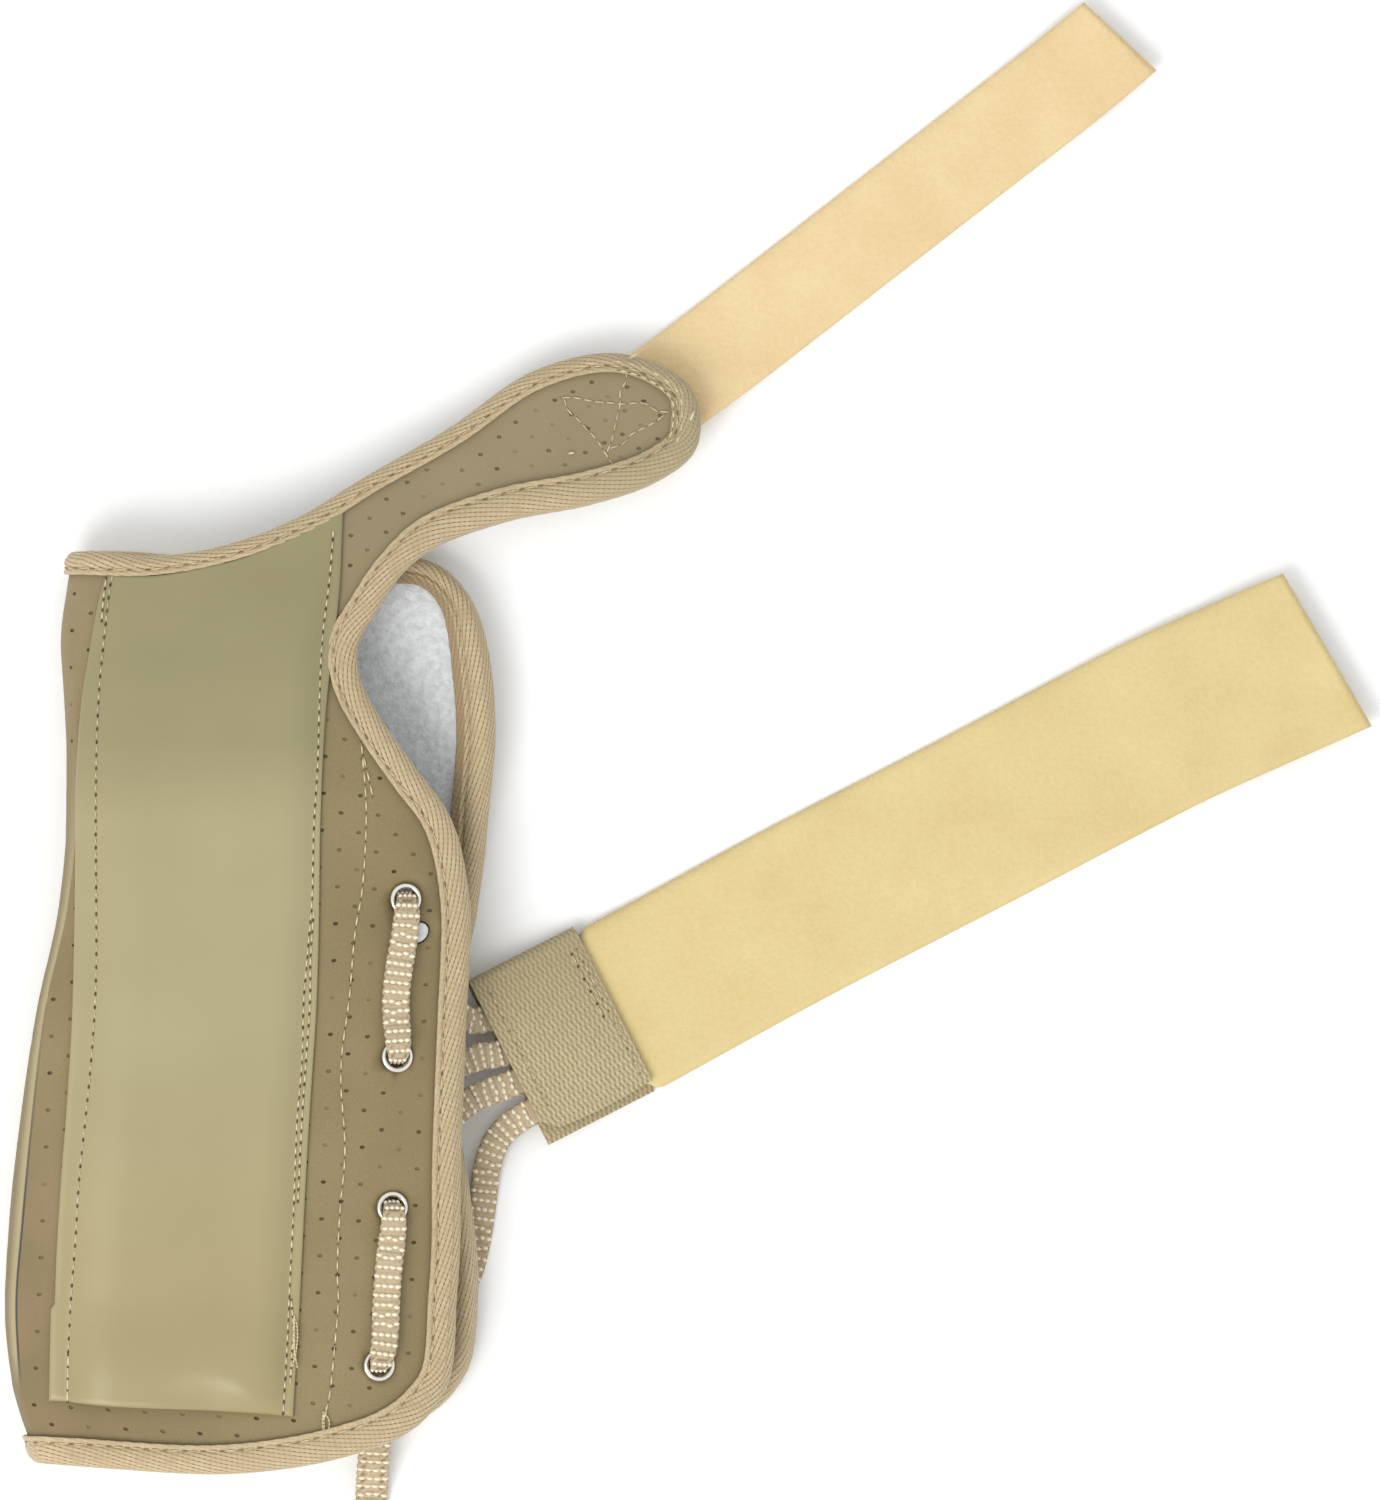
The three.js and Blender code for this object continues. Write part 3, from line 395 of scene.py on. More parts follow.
def mesh_piece(name, points, faces, finish, **columns):
    """A new object from points in millimetres and faces, with a number at each point for each column."""
    mesh = bpy.data.meshes.new(name)
    mesh.from_pydata((np.asarray(points) / 1000).tolist(), [], [list(map(int, face)) for face in faces])
    for key, values in columns.items():
        mesh.attributes.new(key, "FLOAT", "POINT").data.foreach_set("value", np.asarray(values, np.float32))
    mesh.shade_smooth()
    mesh.materials.append(finish)
    piece = bpy.data.objects.new(name, mesh)
    scene.collection.objects.link(piece)
    return piece


def dress_node(piece, node):
    """Ties a piece to the body and hides the solid that it replaces."""
    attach(piece, "root")
    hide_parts(node)


def new_tree(name, sizes):
    """An empty geometry tree with named number inputs and a finish, its own input and its output."""
    tree = bpy.data.node_groups.new(name, "GeometryNodeTree")
    tree.interface.new_socket("Geometry", in_out="INPUT", socket_type="NodeSocketGeometry")
    for size in sizes:
        tree.interface.new_socket(size, in_out="INPUT", socket_type="NodeSocketFloat")
    tree.interface.new_socket("Finish", in_out="INPUT", socket_type="NodeSocketMaterial")
    tree.interface.new_socket("Geometry", in_out="OUTPUT", socket_type="NodeSocketGeometry")
    return tree, tree.nodes.new("NodeGroupInput"), tree.nodes.new("NodeGroupOutput")


def add_node(tree, kind, inputs=None, **settings):
    """A node of a tree with its settings, and its inputs as links or plain values."""
    made = tree.nodes.new(kind)
    for key, value in settings.items():
        setattr(made, key, value)
    for key, value in (inputs or {}).items():
        socket = made.inputs[key]
        if isinstance(value, bpy.types.NodeSocket):
            tree.links.new(value, socket)
        else:
            socket.default_value = value
    return made


def close_tree(tree, shape, given, output):
    """The end of every geometry tree: real meshes, all in one finish."""
    real = add_node(tree, "GeometryNodeRealizeInstances", {"Geometry": shape}).outputs[0]
    dressed = {"Geometry": real, "Material": given.outputs["Finish"]}
    done = add_node(tree, "GeometryNodeSetMaterial", dressed)
    tree.links.new(done.outputs[0], output.inputs[0])


def grow(piece, tree, finish, **values):
    """Runs a geometry tree on a piece, and keeps the result as the piece's plain mesh."""
    run = piece.modifiers.new(tree.name, "NODES")
    run.node_group = tree
    given = {"Finish": finish, **{key.replace("_", " "): value for key, value in values.items()}}
    for socket in tree.interface.items_tree:
        if socket.in_out == "INPUT" and socket.name in given:
            run[socket.identifier] = given[socket.name]
    layout = bpy.context.evaluated_depsgraph_get()
    shape = piece.evaluated_get(layout)
    made = bpy.data.meshes.new_from_object(shape, preserve_all_data_layers=True, depsgraph=layout)
    piece.modifiers.remove(run)
    made.name = piece.name
    piece.data = made


def stored(tree, name, kind="FLOAT"):
    """What a geometry tree reads from a piece's own column."""
    return add_node(tree, "GeometryNodeInputNamedAttribute", {"Name": name}, data_type=kind).outputs[0]


def marked(finish, name):
    """What a finish reads from a piece's own column."""
    return add_node(finish.node_tree, "ShaderNodeAttribute", attribute_name=name).outputs["Fac"]


def spot_in(finish):
    """The place that a finish is asked about, in the piece's own metres."""
    return add_node(finish.node_tree, "ShaderNodeTexCoord").outputs["Object"]


def tree_of(values):
    """The tree that some values are in, told by the first socket among them."""
    return next(value.id_data for value in values if isinstance(value, bpy.types.NodeSocket))


def reckon(operation, *values):
    """One step of arithmetic in a tree."""
    given = dict(enumerate(values))
    return add_node(tree_of(values), "ShaderNodeMath", given, operation=operation).outputs[0]


def product(first, *others):
    """Shares multiplied together."""
    for other in others:
        first = reckon("MULTIPLY", first, other)
    return first


def ranged(value, low, high, start=0.0, stop=1.0, bend="LINEAR"):
    """A value between low and high taken to between start and stop, and held there."""
    spans = {"Value": value, 1: low, 2: high, 3: start, 4: stop}
    return add_node(value.id_data, "ShaderNodeMapRange", spans, interpolation_type=bend).outputs[0]


def noise(spot, scale, detail, roughness=0.5):
    """Noise from 0 to 1, in so many patches to the metre."""
    grain = {"Vector": spot, "Scale": scale, "Detail": detail, "Roughness": roughness}
    return add_node(spot.id_data, "ShaderNodeTexNoise", grain).outputs["Fac"]


def mixed(share, ground, over, blend="MIX"):
    """A share of one tone laid over another."""
    tones = {0: share, 6: ground, 7: over}
    tree = tree_of(tones.values())
    return add_node(tree, "ShaderNodeMix", tones, data_type="RGBA", blend_type=blend).outputs[2]


def two_tones(value, low, high, low_at=0.0, high_at=1.0):
    """A ramp from one tone to another between two places on it."""
    ramp = add_node(value.id_data, "ShaderNodeValToRGB", {"Fac": value})
    for stop, tone, at in zip(ramp.color_ramp.elements, (low, high), (low_at, high_at)):
        stop.position = at
        stop.color = tone
    return ramp.outputs[0]


def colour_finish(finish, colour, relief=None, strength=0.0, height=0.0):
    """Gives a finish its colour and, if it has one, its fine relief, so many millimetres high."""
    tree = finish.node_tree
    shader = tree.nodes["Principled BSDF"]
    tree.links.new(colour, shader.inputs["Base Color"])
    if relief is not None:
        given = {"Strength": strength, "Distance": height / 1000, "Height": relief}
        tree.links.new(add_node(tree, "ShaderNodeBump", given).outputs[0], shader.inputs["Normal"])


def lattice_holes(lattice):
    """The air holes of one centred lattice, as x and y."""
    count = np.arange(-lattice["reach"], lattice["reach"] + 1)
    i, j = (a.ravel() for a in np.meshgrid(count, count))
    i, j = np.concatenate([i, i + 0.5]), np.concatenate([j, j + 0.5])
    step, other = np.array(lattice["step"]), np.array(lattice["other"])
    return np.array(lattice["hole"]) + i[:, None] * step + j[:, None] * other


def on_neck(holes):
    """Which holes are on the neck."""
    return (holes > AIR_ZONES["neck"]).all(axis=1)


leatherette = new_finish("perforated leatherette", srgb(160, 140, 106), Roughness=0.72)
hem_edge = cut_edge(WRAP["hem_step"])
hem_ring = inset(hem_edge, WRAP["edge"])
tape_ring = inset(hem_edge, hem_edge[2] + AIR_HOLE["edge"])
seen_holes = lattice_holes(AIR_HOLES)
neck_holes = np.vstack([np.array(NECK_ROW) + k * np.array(NECK_STEP) for k in NECK_ROWS])
palm_holes = np.vstack([seen_holes[~on_neck(seen_holes)], neck_holes[on_neck(neck_holes)]])
palm_flat = np.stack([palm_u(palm_holes[:, 0], palm_holes[:, 1]), palm_holes[:, 1]], axis=1)
on_fold = (palm_flat > (AIR_ZONES["fold"], AIR_ZONES["fold_from"])).all(axis=1)
palm_flat = palm_flat[(palm_flat[:, 0] > AIR_ZONES["palm"]) | on_fold]
back_flat = seen_holes + (AIR_ZONES["back_shift"], 0)
back_flat = back_flat[back_flat[:, 0] < AIR_ZONES["back"]]
air_holes = np.vstack([palm_flat, back_flat])
air_holes = air_holes[within(tape_ring, air_holes)]
hole_u, hole_v = air_holes.T
hole_x = hole_u + sleeve("crease", hole_v)
under_pocket = (hole_x < sleeve("seam", hole_v) - POCKET_COVER["seam"]) & (hole_u > 0)
under_pocket &= hole_x > steady(POCKET_COVER["y"], POCKET_COVER["x"], hole_v)
under_pocket &= hole_v > POCKET_COVER["from"]
air_holes = air_holes[~under_pocket]
big_holes = []
for x, y, radius, clear in [*((x, y, *EYELET_HOLE) for x, y in EYELET_HOLES), PUNCHED_HOLE]:
    u = palm_u(x, np.array([y]))[0]
    big_holes.append((u, y, radius))
    air_holes = air_holes[np.hypot(air_holes[:, 0] - u, air_holes[:, 1] - y) > clear]
big_rings = [circle(u, v, radius, BIG_HOLE_SIDES) for u, v, radius in big_holes]
air_rings = [circle(u, v, AIR_HOLE["radius"], AIR_HOLE["sides"], AIR_HOLE["squash"]) for u, v in air_holes]


def loose_points(step, clear_of_holes):
    """Points of the flat sheet an even step apart, clear of its edge and of its holes."""
    u, v = np.meshgrid(np.arange(*SHEET["u"], step), np.arange(*SHEET["v"], step))
    u[1::2] += step / 2
    points = np.stack([u.ravel(), v.ravel()], axis=1)
    points = points[np.abs(points[:, 0]) > CREASE_LINES["band"]]
    if clear_of_holes:
        crease_v = np.arange(*CREASE_LINES["v"], CREASE_LINES["step"])
        lines = [np.stack([np.full(len(crease_v), u), crease_v], axis=1) for u in CREASE_LINES["u"]]
        points = np.vstack([points, *lines])
    points = points[within(inset(hem_edge, WRAP["edge"] + SHEET["edge"]), points)]
    for u, v, radius in big_holes:
        points = points[np.hypot(points[:, 0] - u, points[:, 1] - v) > radius + SHEET["hole"]]
    if clear_of_holes:
        near = [np.hypot(air_holes[:, 0] - u, air_holes[:, 1] - v).min() for u, v in points]
        points = points[np.array(near) > AIR_GUARD["radius"] + AIR_GUARD["clear"]]
        guard = (AIR_GUARD["radius"], AIR_HOLE["sides"], AIR_GUARD["squash"])
        points = np.vstack([points, *(circle(u, v, *guard) for u, v in air_holes)])
    return points


outer_loose = loose_points(WRAP["outer_step"], True)
inner_loose = loose_points(WRAP["inner_step"], False)
outer_flat, outer_faces, outer_rings = sheet_faces([hem_ring, *big_rings, *air_rings], outer_loose)
inner_flat, inner_faces, inner_rings = sheet_faces([hem_ring, *big_rings], inner_loose)
outer_u, outer_v = outer_flat.T
crease_start = smoothstep((outer_v - CREASE["from"]) / CREASE["start"])
crease_stop = smoothstep((CREASE["to"] - outer_v) / CREASE["stop"])
groove = dip(CREASE["depth"], CREASE["width"], outer_u) * crease_start * crease_stop
first_inner = len(outer_flat)
wrap_faces = [*outer_faces.tolist(), *(inner_faces[:, ::-1] + first_inner).tolist()]
for number, (outer_ring, inner_ring) in enumerate(zip(outer_rings, inner_rings)):
    wrap_faces += wall_faces(outer_ring, inner_ring + first_inner, number > 0)
air_from = len(wrap_faces)
wrap_faces += [ring.tolist() for ring in outer_rings[len(big_rings) + 1:]]
wrap = mesh_piece(
    "wrap_leatherette",
    np.vstack([place(outer_u, outer_v, -groove), place(inner_flat[:, 0], inner_flat[:, 1], -WRAP["wall"])]),
    wrap_faces,
    leatherette,
    across=np.concatenate([outer_flat[:, 0], inner_flat[:, 0]]),
    along=np.concatenate([outer_flat[:, 1], inner_flat[:, 1]]),
)
is_air_hole = np.arange(len(wrap_faces)) >= air_from
openness = np.zeros(len(wrap_faces), np.float32)
chance = np.random.default_rng(AIR_HOLE["seed"])
openness[air_from:] = chance.choice(OPENNESS["share"], len(air_rings), p=OPENNESS["often"])
wrap.data.attributes.new("air_hole", "BOOLEAN", "FACE").data.foreach_set("value", is_air_hole)
wrap.data.attributes.new("openness", "FLOAT", "FACE").data.foreach_set("value", openness)

# Each air hole is a small face pressed into the sheet, some deeper than others, and marked for the finish,
# which paints shade into it
pit_tree, pit_given, pit_output = new_tree("air holes", ("Depth", "Taper"))
hole_face = stored(pit_tree, "air_hole", "BOOLEAN")
open_share = stored(pit_tree, "openness")
deep = product(pit_given.outputs["Depth"], -1.0, open_share)
press = add_node(
    pit_tree,
    "GeometryNodeExtrudeMesh",
    {"Mesh": pit_given.outputs[0], "Selection": hole_face, "Offset Scale": deep, "Individual": True},
    mode="FACES",
)
taper = pit_given.outputs["Taper"]
narrow = add_node(
    pit_tree,
    "GeometryNodeScaleElements",
    {"Geometry": press.outputs["Mesh"], "Selection": press.outputs["Top"], "Scale": taper},
    domain="FACE",
)
pit_sides = {0: press.outputs["Top"], 1: press.outputs["Side"]}
in_pit = add_node(pit_tree, "FunctionNodeBooleanMath", pit_sides, operation="OR").outputs[0]
mark = add_node(
    pit_tree,
    "GeometryNodeStoreNamedAttribute",
    {"Geometry": narrow.outputs[0], "Name": "pit", "Value": product(in_pit, open_share)},
    data_type="FLOAT",
    domain="FACE",
)
sharp = add_node(
    pit_tree,
    "GeometryNodeSetShadeSmooth",
    {"Geometry": mark.outputs[0], "Selection": in_pit, "Shade Smooth": False},
    domain="FACE",
)
close_tree(pit_tree, sharp.outputs[0], pit_given, pit_output)
grow(wrap, pit_tree, leatherette, Depth=AIR_HOLE["depth"] / 1000, Taper=AIR_HOLE["taper"])

# Leatherette: a fine nap over a slow mottle, pinker where the forearm end is worn, painted shade in the air
# holes, paler at the hand end, a painted highlight along the folded wall, which faces the light, and a
# blue-grey painted shadow along the crease of the fold
skin_spot = spot_in(leatherette)
skin_across = marked(leatherette, "across")
skin_along = marked(leatherette, "along")
nap = noise(skin_spot, 2600, 3, 0.65)
mottled = two_tones(noise(skin_spot, 35, 3), srgb(126, 110, 75), srgb(137, 120, 84), 0.3, 0.7)
napped = mixed(0.3, mottled, nap, "SOFT_LIGHT")
worn_share = product(ranged(skin_across, 3, 22, 1, 0), ranged(skin_along, -58, -10, 0.65, 0))
worn_tone = two_tones(noise(skin_spot, 48, 2), srgb(118, 102, 69), srgb(134, 110, 81), 0.42, 0.66)
worn = mixed(worn_share, napped, worn_tone)
# Painted shade in the air holes, darker in the deeper ones
pit_shaded = mixed(marked(leatherette, "pit"), worn, srgb(98, 78, 48))
paler = mixed(ranged(skin_along, 62, 112, 0, 0.4), pit_shaded, srgb(156, 143, 114))
fold_start = ranged(skin_along, -84, -76)
# Painted highlight: the folded wall is paler where it faces the light
wall_light_share = product(
    ranged(skin_across, -5, -1, 0, 0.6),
    ranged(skin_across, -0.5, 0, 1, 0),
    ranged(skin_along, 20, 60, 1, 0),
    fold_start,
)
wall_lit = mixed(wall_light_share, paler, srgb(184, 172, 132))
# Painted shadow: a thin dark blue-grey line where the crease of the fold lies in shade
crease_band = ranged(reckon("ABSOLUTE", skin_across), 0.2, 0.55, 1, 0)
crease_shade_share = product(crease_band, fold_start, ranged(skin_along, -45, 4, 1, 0))
colour_finish(leatherette, mixed(crease_shade_share, wall_lit, srgb(64, 66, 67)), nap, 0.25, 0.12)
dress_node(wrap, "body_wrap")

# Lining
# White brushed fleece bonded under the whole wrap. It shows through the thumb opening and in the open ends
# of the sleeve, and it swells up into the punched hole.
LINING = {"top": -2.7, "face": -3.6, "step": 4.4}
# The swell's height and, in shares of the hole, where it ends, how soon, and its rings of points
SWELL = {"height": 2.7, "end": 0.985, "run": 0.12, "rings": (0.3, 0.6, 0.82, 0.91, 0.975), "sides": 14}
fleece = new_finish("brushed fleece", srgb(226, 229, 233), Roughness=0.95, Sheen_Weight=0.3)
clumps = noise(spot_in(fleece), 560, 5, 0.68)
fleece_tone = two_tones(clumps, srgb(201, 204, 206), srgb(231, 233, 234), 0.34, 0.66)
colour_finish(fleece, fleece_tone, clumps, 0.7, 0.8)
punched_u, punched_v, punched_radius = big_holes[-1]
swell_radii = [share * punched_radius for share in SWELL["rings"]]
swell_rings = [circle(punched_u, punched_v, radius, SWELL["sides"]) for radius in swell_radii]
lining_loose = np.vstack([loose_points(LINING["step"], False), [(punched_u, punched_v)], *swell_rings])
lining_flat, lining_faces, lining_rings = sheet_faces([hem_ring, *big_rings[:-1]], lining_loose)
lining_u, lining_v = lining_flat.T
lining_count = len(lining_flat)
from_punched = np.hypot(lining_u - punched_u, lining_v - punched_v) / punched_radius
swell = SWELL["height"] * smoothstep((SWELL["end"] - from_punched) / SWELL["run"])
lining_points = np.vstack([
    place(lining_u, lining_v, LINING["top"] + swell),
    place(lining_u, lining_v, LINING["face"]),
])
lining_all = [*lining_faces.tolist(), *(lining_faces[:, ::-1] + lining_count).tolist()]
for number, ring in enumerate(lining_rings):
    lining_all += wall_faces(ring, ring + lining_count, number > 0)
lining = mesh_piece("lining_fleece", lining_points, lining_all, fleece)
dress_node(lining, "lining")

# Binding
# Herringbone twill tape folded over the whole cut edge and sewn down with one row of stitches. Its ribs run
# at a slant, so they drift from its inner edge to the fold as they go along it.
TAPE = {"gap": 0.42, "thick": 0.8, "corner": 2.1, "step": 0.6, "row": 1.35, "inside": 0.85}
TAPE_STEPS = {"top": 21, "upper": 8, "lower": 6, "under": 18, "hidden": 4}
# Depths and reaches of the dips in the tape, and the height of its back and how far that stops from the fold
TAPE_DIPS = {"row": (0.3, 0.45), "edge": (0.12, 0.3), "under": (0.75, 0.36)}
TAPE_BACK = {"height": 0.28, "short": 0.4, "under_dip": 0.55}
RIBS = {"along": 3.5, "across": 1.02, "height": 0.11, "middle": 0.7}
TWILL_THREAD = {"pitch": 1.25, "slant": 0.45}
TAPE_TOP = TAPE["gap"] + TAPE["thick"]
TAPE_UNDER = LINING["face"] - TAPE["gap"] - TAPE["thick"]


def grid_faces(rows, columns, closed_rows=False, closed_columns=False):
    """The four-sided faces of a grid of points, row after row."""
    row_steps = np.arange(rows - (not closed_rows))
    column_steps = np.arange(columns - (not closed_columns))
    i, j = (a.ravel() for a in np.meshgrid(row_steps, column_steps, indexing="ij"))
    a = i * columns + j
    b = i * columns + (j + 1) % columns
    c = (i + 1) % rows * columns + (j + 1) % columns
    d = (i + 1) % rows * columns + j
    return np.stack([a, b, c, d], axis=1)


def tape_section(tape):
    """The tape's section, as depth in from the cut edge and lift, from its upper inner edge to its lower."""
    corner = TAPE["corner"]
    top_depth = np.linspace(tape, corner, TAPE_STEPS["top"])
    inner_edge = tape - top_depth
    over_back = np.clip((inner_edge - TAPE["row"]) / (tape - TAPE["row"] - TAPE_BACK["short"]), 0, 1)
    top_lift = TAPE_TOP + TAPE_BACK["height"] * np.sin(np.pi * over_back)
    top_lift -= dip(*TAPE_DIPS["row"], inner_edge - TAPE["row"]) + dip(*TAPE_DIPS["edge"], inner_edge)
    turn = np.radians(np.linspace(90, 180, TAPE_STEPS["upper"]))[1:]
    upper = np.stack([corner + corner * np.cos(turn), TAPE_TOP - corner + corner * np.sin(turn)], axis=1)
    turn = np.radians(np.linspace(180, 270, TAPE_STEPS["lower"]))
    lower = np.stack([corner + corner * np.cos(turn), TAPE_UNDER + corner + corner * np.sin(turn)], axis=1)
    under_depth = np.linspace(corner, tape, TAPE_STEPS["under"] + 1)[1:]
    under_dip = dip(*TAPE_DIPS["under"], under_depth - TAPE_BACK["under_dip"] * tape)
    under = np.stack([under_depth, TAPE_UNDER + under_dip], axis=1)
    inside, low, high = TAPE["inside"], LINING["face"] - TAPE["gap"], TAPE["gap"]
    hidden = [(tape, low), (inside, low), (inside, high), (tape, high)]
    return np.vstack([np.stack([top_depth, top_lift], axis=1), upper, lower, under, hidden])


def rib_back(along, across, pitch_along, pitch_across):
    """The slanting ribs as a wave with broad backs and sharp valleys, from 0 to 1."""
    turns = reckon("SUBTRACT", reckon("DIVIDE", along, pitch_along), reckon("DIVIDE", across, pitch_across))
    return reckon("ABSOLUTE", reckon("COSINE", reckon("MULTIPLY", turns, math.pi)))


def part(spot, axis):
    """One coordinate of a place."""
    return add_node(spot.id_data, "ShaderNodeSeparateXYZ", {"Vector": spot}).outputs[axis]


twill = new_finish("twill tape", srgb(201, 172, 128), Roughness=0.82, Sheen_Weight=0.15)
tape_edge = cut_edge(TAPE["step"])
tape_u, tape_v, tape_width, tape_way_in, tape_run = tape_edge
tape_shapes = np.array([tape_section(width) for width in tape_width])
tape_count, section_count = tape_shapes.shape[:2]
tape_flat = np.stack([tape_u, tape_v], axis=1)[:, None] + tape_shapes[:, :, :1] * tape_way_in[:, None]
tape_points = place(tape_flat[:, :, 0].ravel(), tape_flat[:, :, 1].ravel(), tape_shapes[:, :, 1].ravel())
section_steps = np.linalg.norm(np.diff(tape_shapes, axis=1), axis=2)
from_inner = np.concatenate([np.zeros((tape_count, 1)), np.cumsum(section_steps, axis=1)], axis=1)
ribbed = np.ones(section_count)
ribbed[-TAPE_STEPS["hidden"]:] = 0
lining_side = np.zeros(section_count)
lining_side[-TAPE_STEPS["hidden"] - TAPE_STEPS["under"] // 2:] = 1
binding = mesh_piece(
    "edge_binding",
    tape_points,
    grid_faces(tape_count, section_count, True, True),
    twill,
    along=np.repeat(tape_run, section_count),
    across=(from_inner - tape_width[:, None]).ravel(),
    inner=from_inner.ravel(),
    ribbed=np.tile(ribbed, tape_count),
    lining_side=np.tile(lining_side, tape_count),
)

# The ribs lift the tape along its own normals
rib_tree, rib_given, rib_output = new_tree("twill ribs", ("Pitch along", "Pitch across", "Height"))
rib_wave = rib_back(
    stored(rib_tree, "along"),
    stored(rib_tree, "across"),
    rib_given.outputs["Pitch along"],
    rib_given.outputs["Pitch across"],
)
rib_level = reckon("SUBTRACT", rib_wave, RIBS["middle"])
rib_lift = product(rib_level, stored(rib_tree, "ribbed"), rib_given.outputs["Height"])
rib_way = add_node(rib_tree, "GeometryNodeInputNormal").outputs[0]
rib_move = add_node(rib_tree, "ShaderNodeVectorMath", {0: rib_way, "Scale": rib_lift}, operation="SCALE")
rib_moved = {"Geometry": rib_given.outputs[0], "Offset": rib_move.outputs[0]}
rib_set = add_node(rib_tree, "GeometryNodeSetPosition", rib_moved)
close_tree(rib_tree, rib_set.outputs[0], rib_given, rib_output)
grow(
    binding,
    rib_tree,
    twill,
    Pitch_along=RIBS["along"],
    Pitch_across=RIBS["across"],
    Height=RIBS["height"] / 1000,
)

# Twill: each rib is a row of short slanting threads, pale on its back, with painted shade, brown and dotted,
# in the groove beside it
tape_spot = spot_in(twill)
tape_along = marked(twill, "along")
tape_across = marked(twill, "across")
tape_wear = noise(tape_spot, 420, 3)
thread_slant = reckon("MULTIPLY_ADD", tape_across, TWILL_THREAD["slant"], tape_along)
thread_wave = reckon("SINE", reckon("MULTIPLY", thread_slant, 2 * math.pi / TWILL_THREAD["pitch"]))
valley_shade = product(
    ranged(rib_back(tape_along, tape_across, RIBS["along"], RIBS["across"]), 0, 0.66, 1, 0, "SMOOTHSTEP"),
    ranged(thread_wave, -0.9, 0.7, 0.5, 1, "SMOOTHSTEP"),
    ranged(marked(twill, "inner"), 0.7, 1.9, 0.25, 1, "SMOOTHSTEP"),
    ranged(tape_wear, 0.35, 0.6, 0.5, 1, "SMOOTHSTEP"),
)
tape_tone = mixed(0.45, mixed(valley_shade, srgb(186, 166, 131), srgb(84, 66, 40)), tape_wear, "SOFT_LIGHT")
# Painted shade on the half of the tape's under face towards the lining
tape_tone = mixed(product(marked(twill, "lining_side"), 0.62), tape_tone, srgb(138, 114, 82))
neck_share = ranged(part(tape_spot, "X"), 0.066, 0.092, 0, 0.4, "SMOOTHSTEP")
colour_finish(twill, mixed(neck_share, tape_tone, srgb(144, 134, 102)), thread_wave, 0.35, 0.1)
dress_node(binding, "binding")

# Stay pocket
# A patch of smooth vinyl sewn on the palm half along both sides and caught under the hand hem. It is open
# at the forearm end and stands off the wrap between its seams.
POCKET = {"thick": 1.0, "bulge": 2.6, "seat": 0.14, "rounding": 0.35, "round_run": 0.7, "tuck": 0.1}
POCKET_LEFT = {
    "y": (-95, -86.4, -65.9, -65.4, -55.6, -37.8, -20, 2.2, 28.9, 51.1, 68.9, 77.8, 91.1, 96, 112),
    "x": (
        -44.3, -44.2, -43.8, -43.1, -42.7, -41.6, -40.2, -38.9, -38.2, -38, -36.9, -35.6, -33.3, -32, -28.5,
    ),
}
POCKET_RIGHT = {
    "y": (-95, -90.2, -68.9, -51.1, -33.3, -15.6, 2.2, 20, 37.8, 55.6, 68.9, 82.2, 95.6, 108.9, 114),
    "x": (9.6, 9.8, 11.1, 12, 12.9, 14, 15.1, 15.6, 15.8, 16.4, 17.3, 18.9, 20.2, 20.7, 20.9),
}
LEFT_SEAM = {
    "y": (-86.7, -75.6, -62.2, -51.1, -37.8, -24.4, -11.1, 2.2, 20, 46.7, 64.4, 75.6, 93.3),
    "x": (-40.2, -40, -39.3, -38.4, -37.6, -36.2, -34.9, -34, -33.6, -33.6, -33.3, -32.7, -30.9),
}
RIGHT_SEAM = {
    "y": (-89.3, -75.6, -60, -42.2, -24.4, -11.1, 2.2, 11.1, 24.4, 40, 55.6, 68.9, 82.2, 95.6, 106.7),
    "x": (7.6, 8.4, 9.1, 10, 10.7, 11.8, 12.2, 12.9, 14, 14.4, 15.3, 15.6, 16.2, 17.8, 18.7),
}
POCKET_MOUTH = {
    "x": (-46, -44.2, -28.9, -11.1, 2.2, 9.8, 13),
    "y": (-86.3, -86.4, -87.6, -88.4, -89.3, -90, -90.3),
}
HAND_HEM = {
    "x": (-36, -22, -6.7, 11, 26.7),
    "y": (102.2, 101, 103.1, 109.8, 119.3),
    "tape": (5.6, 4.6, 4.1, 4.2, 4.3),
}
# How the pocket rises from each seam, closes to the hand hem and opens to the mouth, and how its lip sinks
RISE = {"left": 12, "right": 8, "by_mouth": 7, "mouth": 12, "power": 2.4, "closing": 26}
OPENING = {"more": 0.45, "from": 62, "run": 18}
LIP = {"reach": 2, "more": 7, "corner": 18, "power": 1.3}
LIP_DROP = {"least": 0.06, "more": 0.62, "from": -24, "run": 22}
# Shares along and across the patch where its points are closer: by its rims, and by a nick in its left edge
POCKET_GRID = {"across": 62, "span": (0.025, 0.975), "rim": (0, 0.004, 0.012), "far_rim": (0.988, 0.996, 1)}
POCKET_ROWS = {"along": 120, "closer": (0.003, 0.1075, 0.1085, 0.1095, 0.1105, 0.1115, 0.997)}
POCKET_SIZE = {"across": 56, "along": 190, "from": -88, "rounds": 5}
# Places along the pocket and the vinyl's tone there, as painted shade: warmer and a little darker by the
# mouth, and darker at the hand end, where the pocket slopes away from the light
VINYL_SHADE_TONES = [(-55, (155, 142, 102)), (-5, (160, 150, 112)), (42, (160, 150, 112)), (60, (144, 135, 98))]
VINYL_SPAN = (-90, 110)


def seam(line, y):
    """Where a line along the sleeve is at y."""
    return steady(line["y"], line["x"], y)


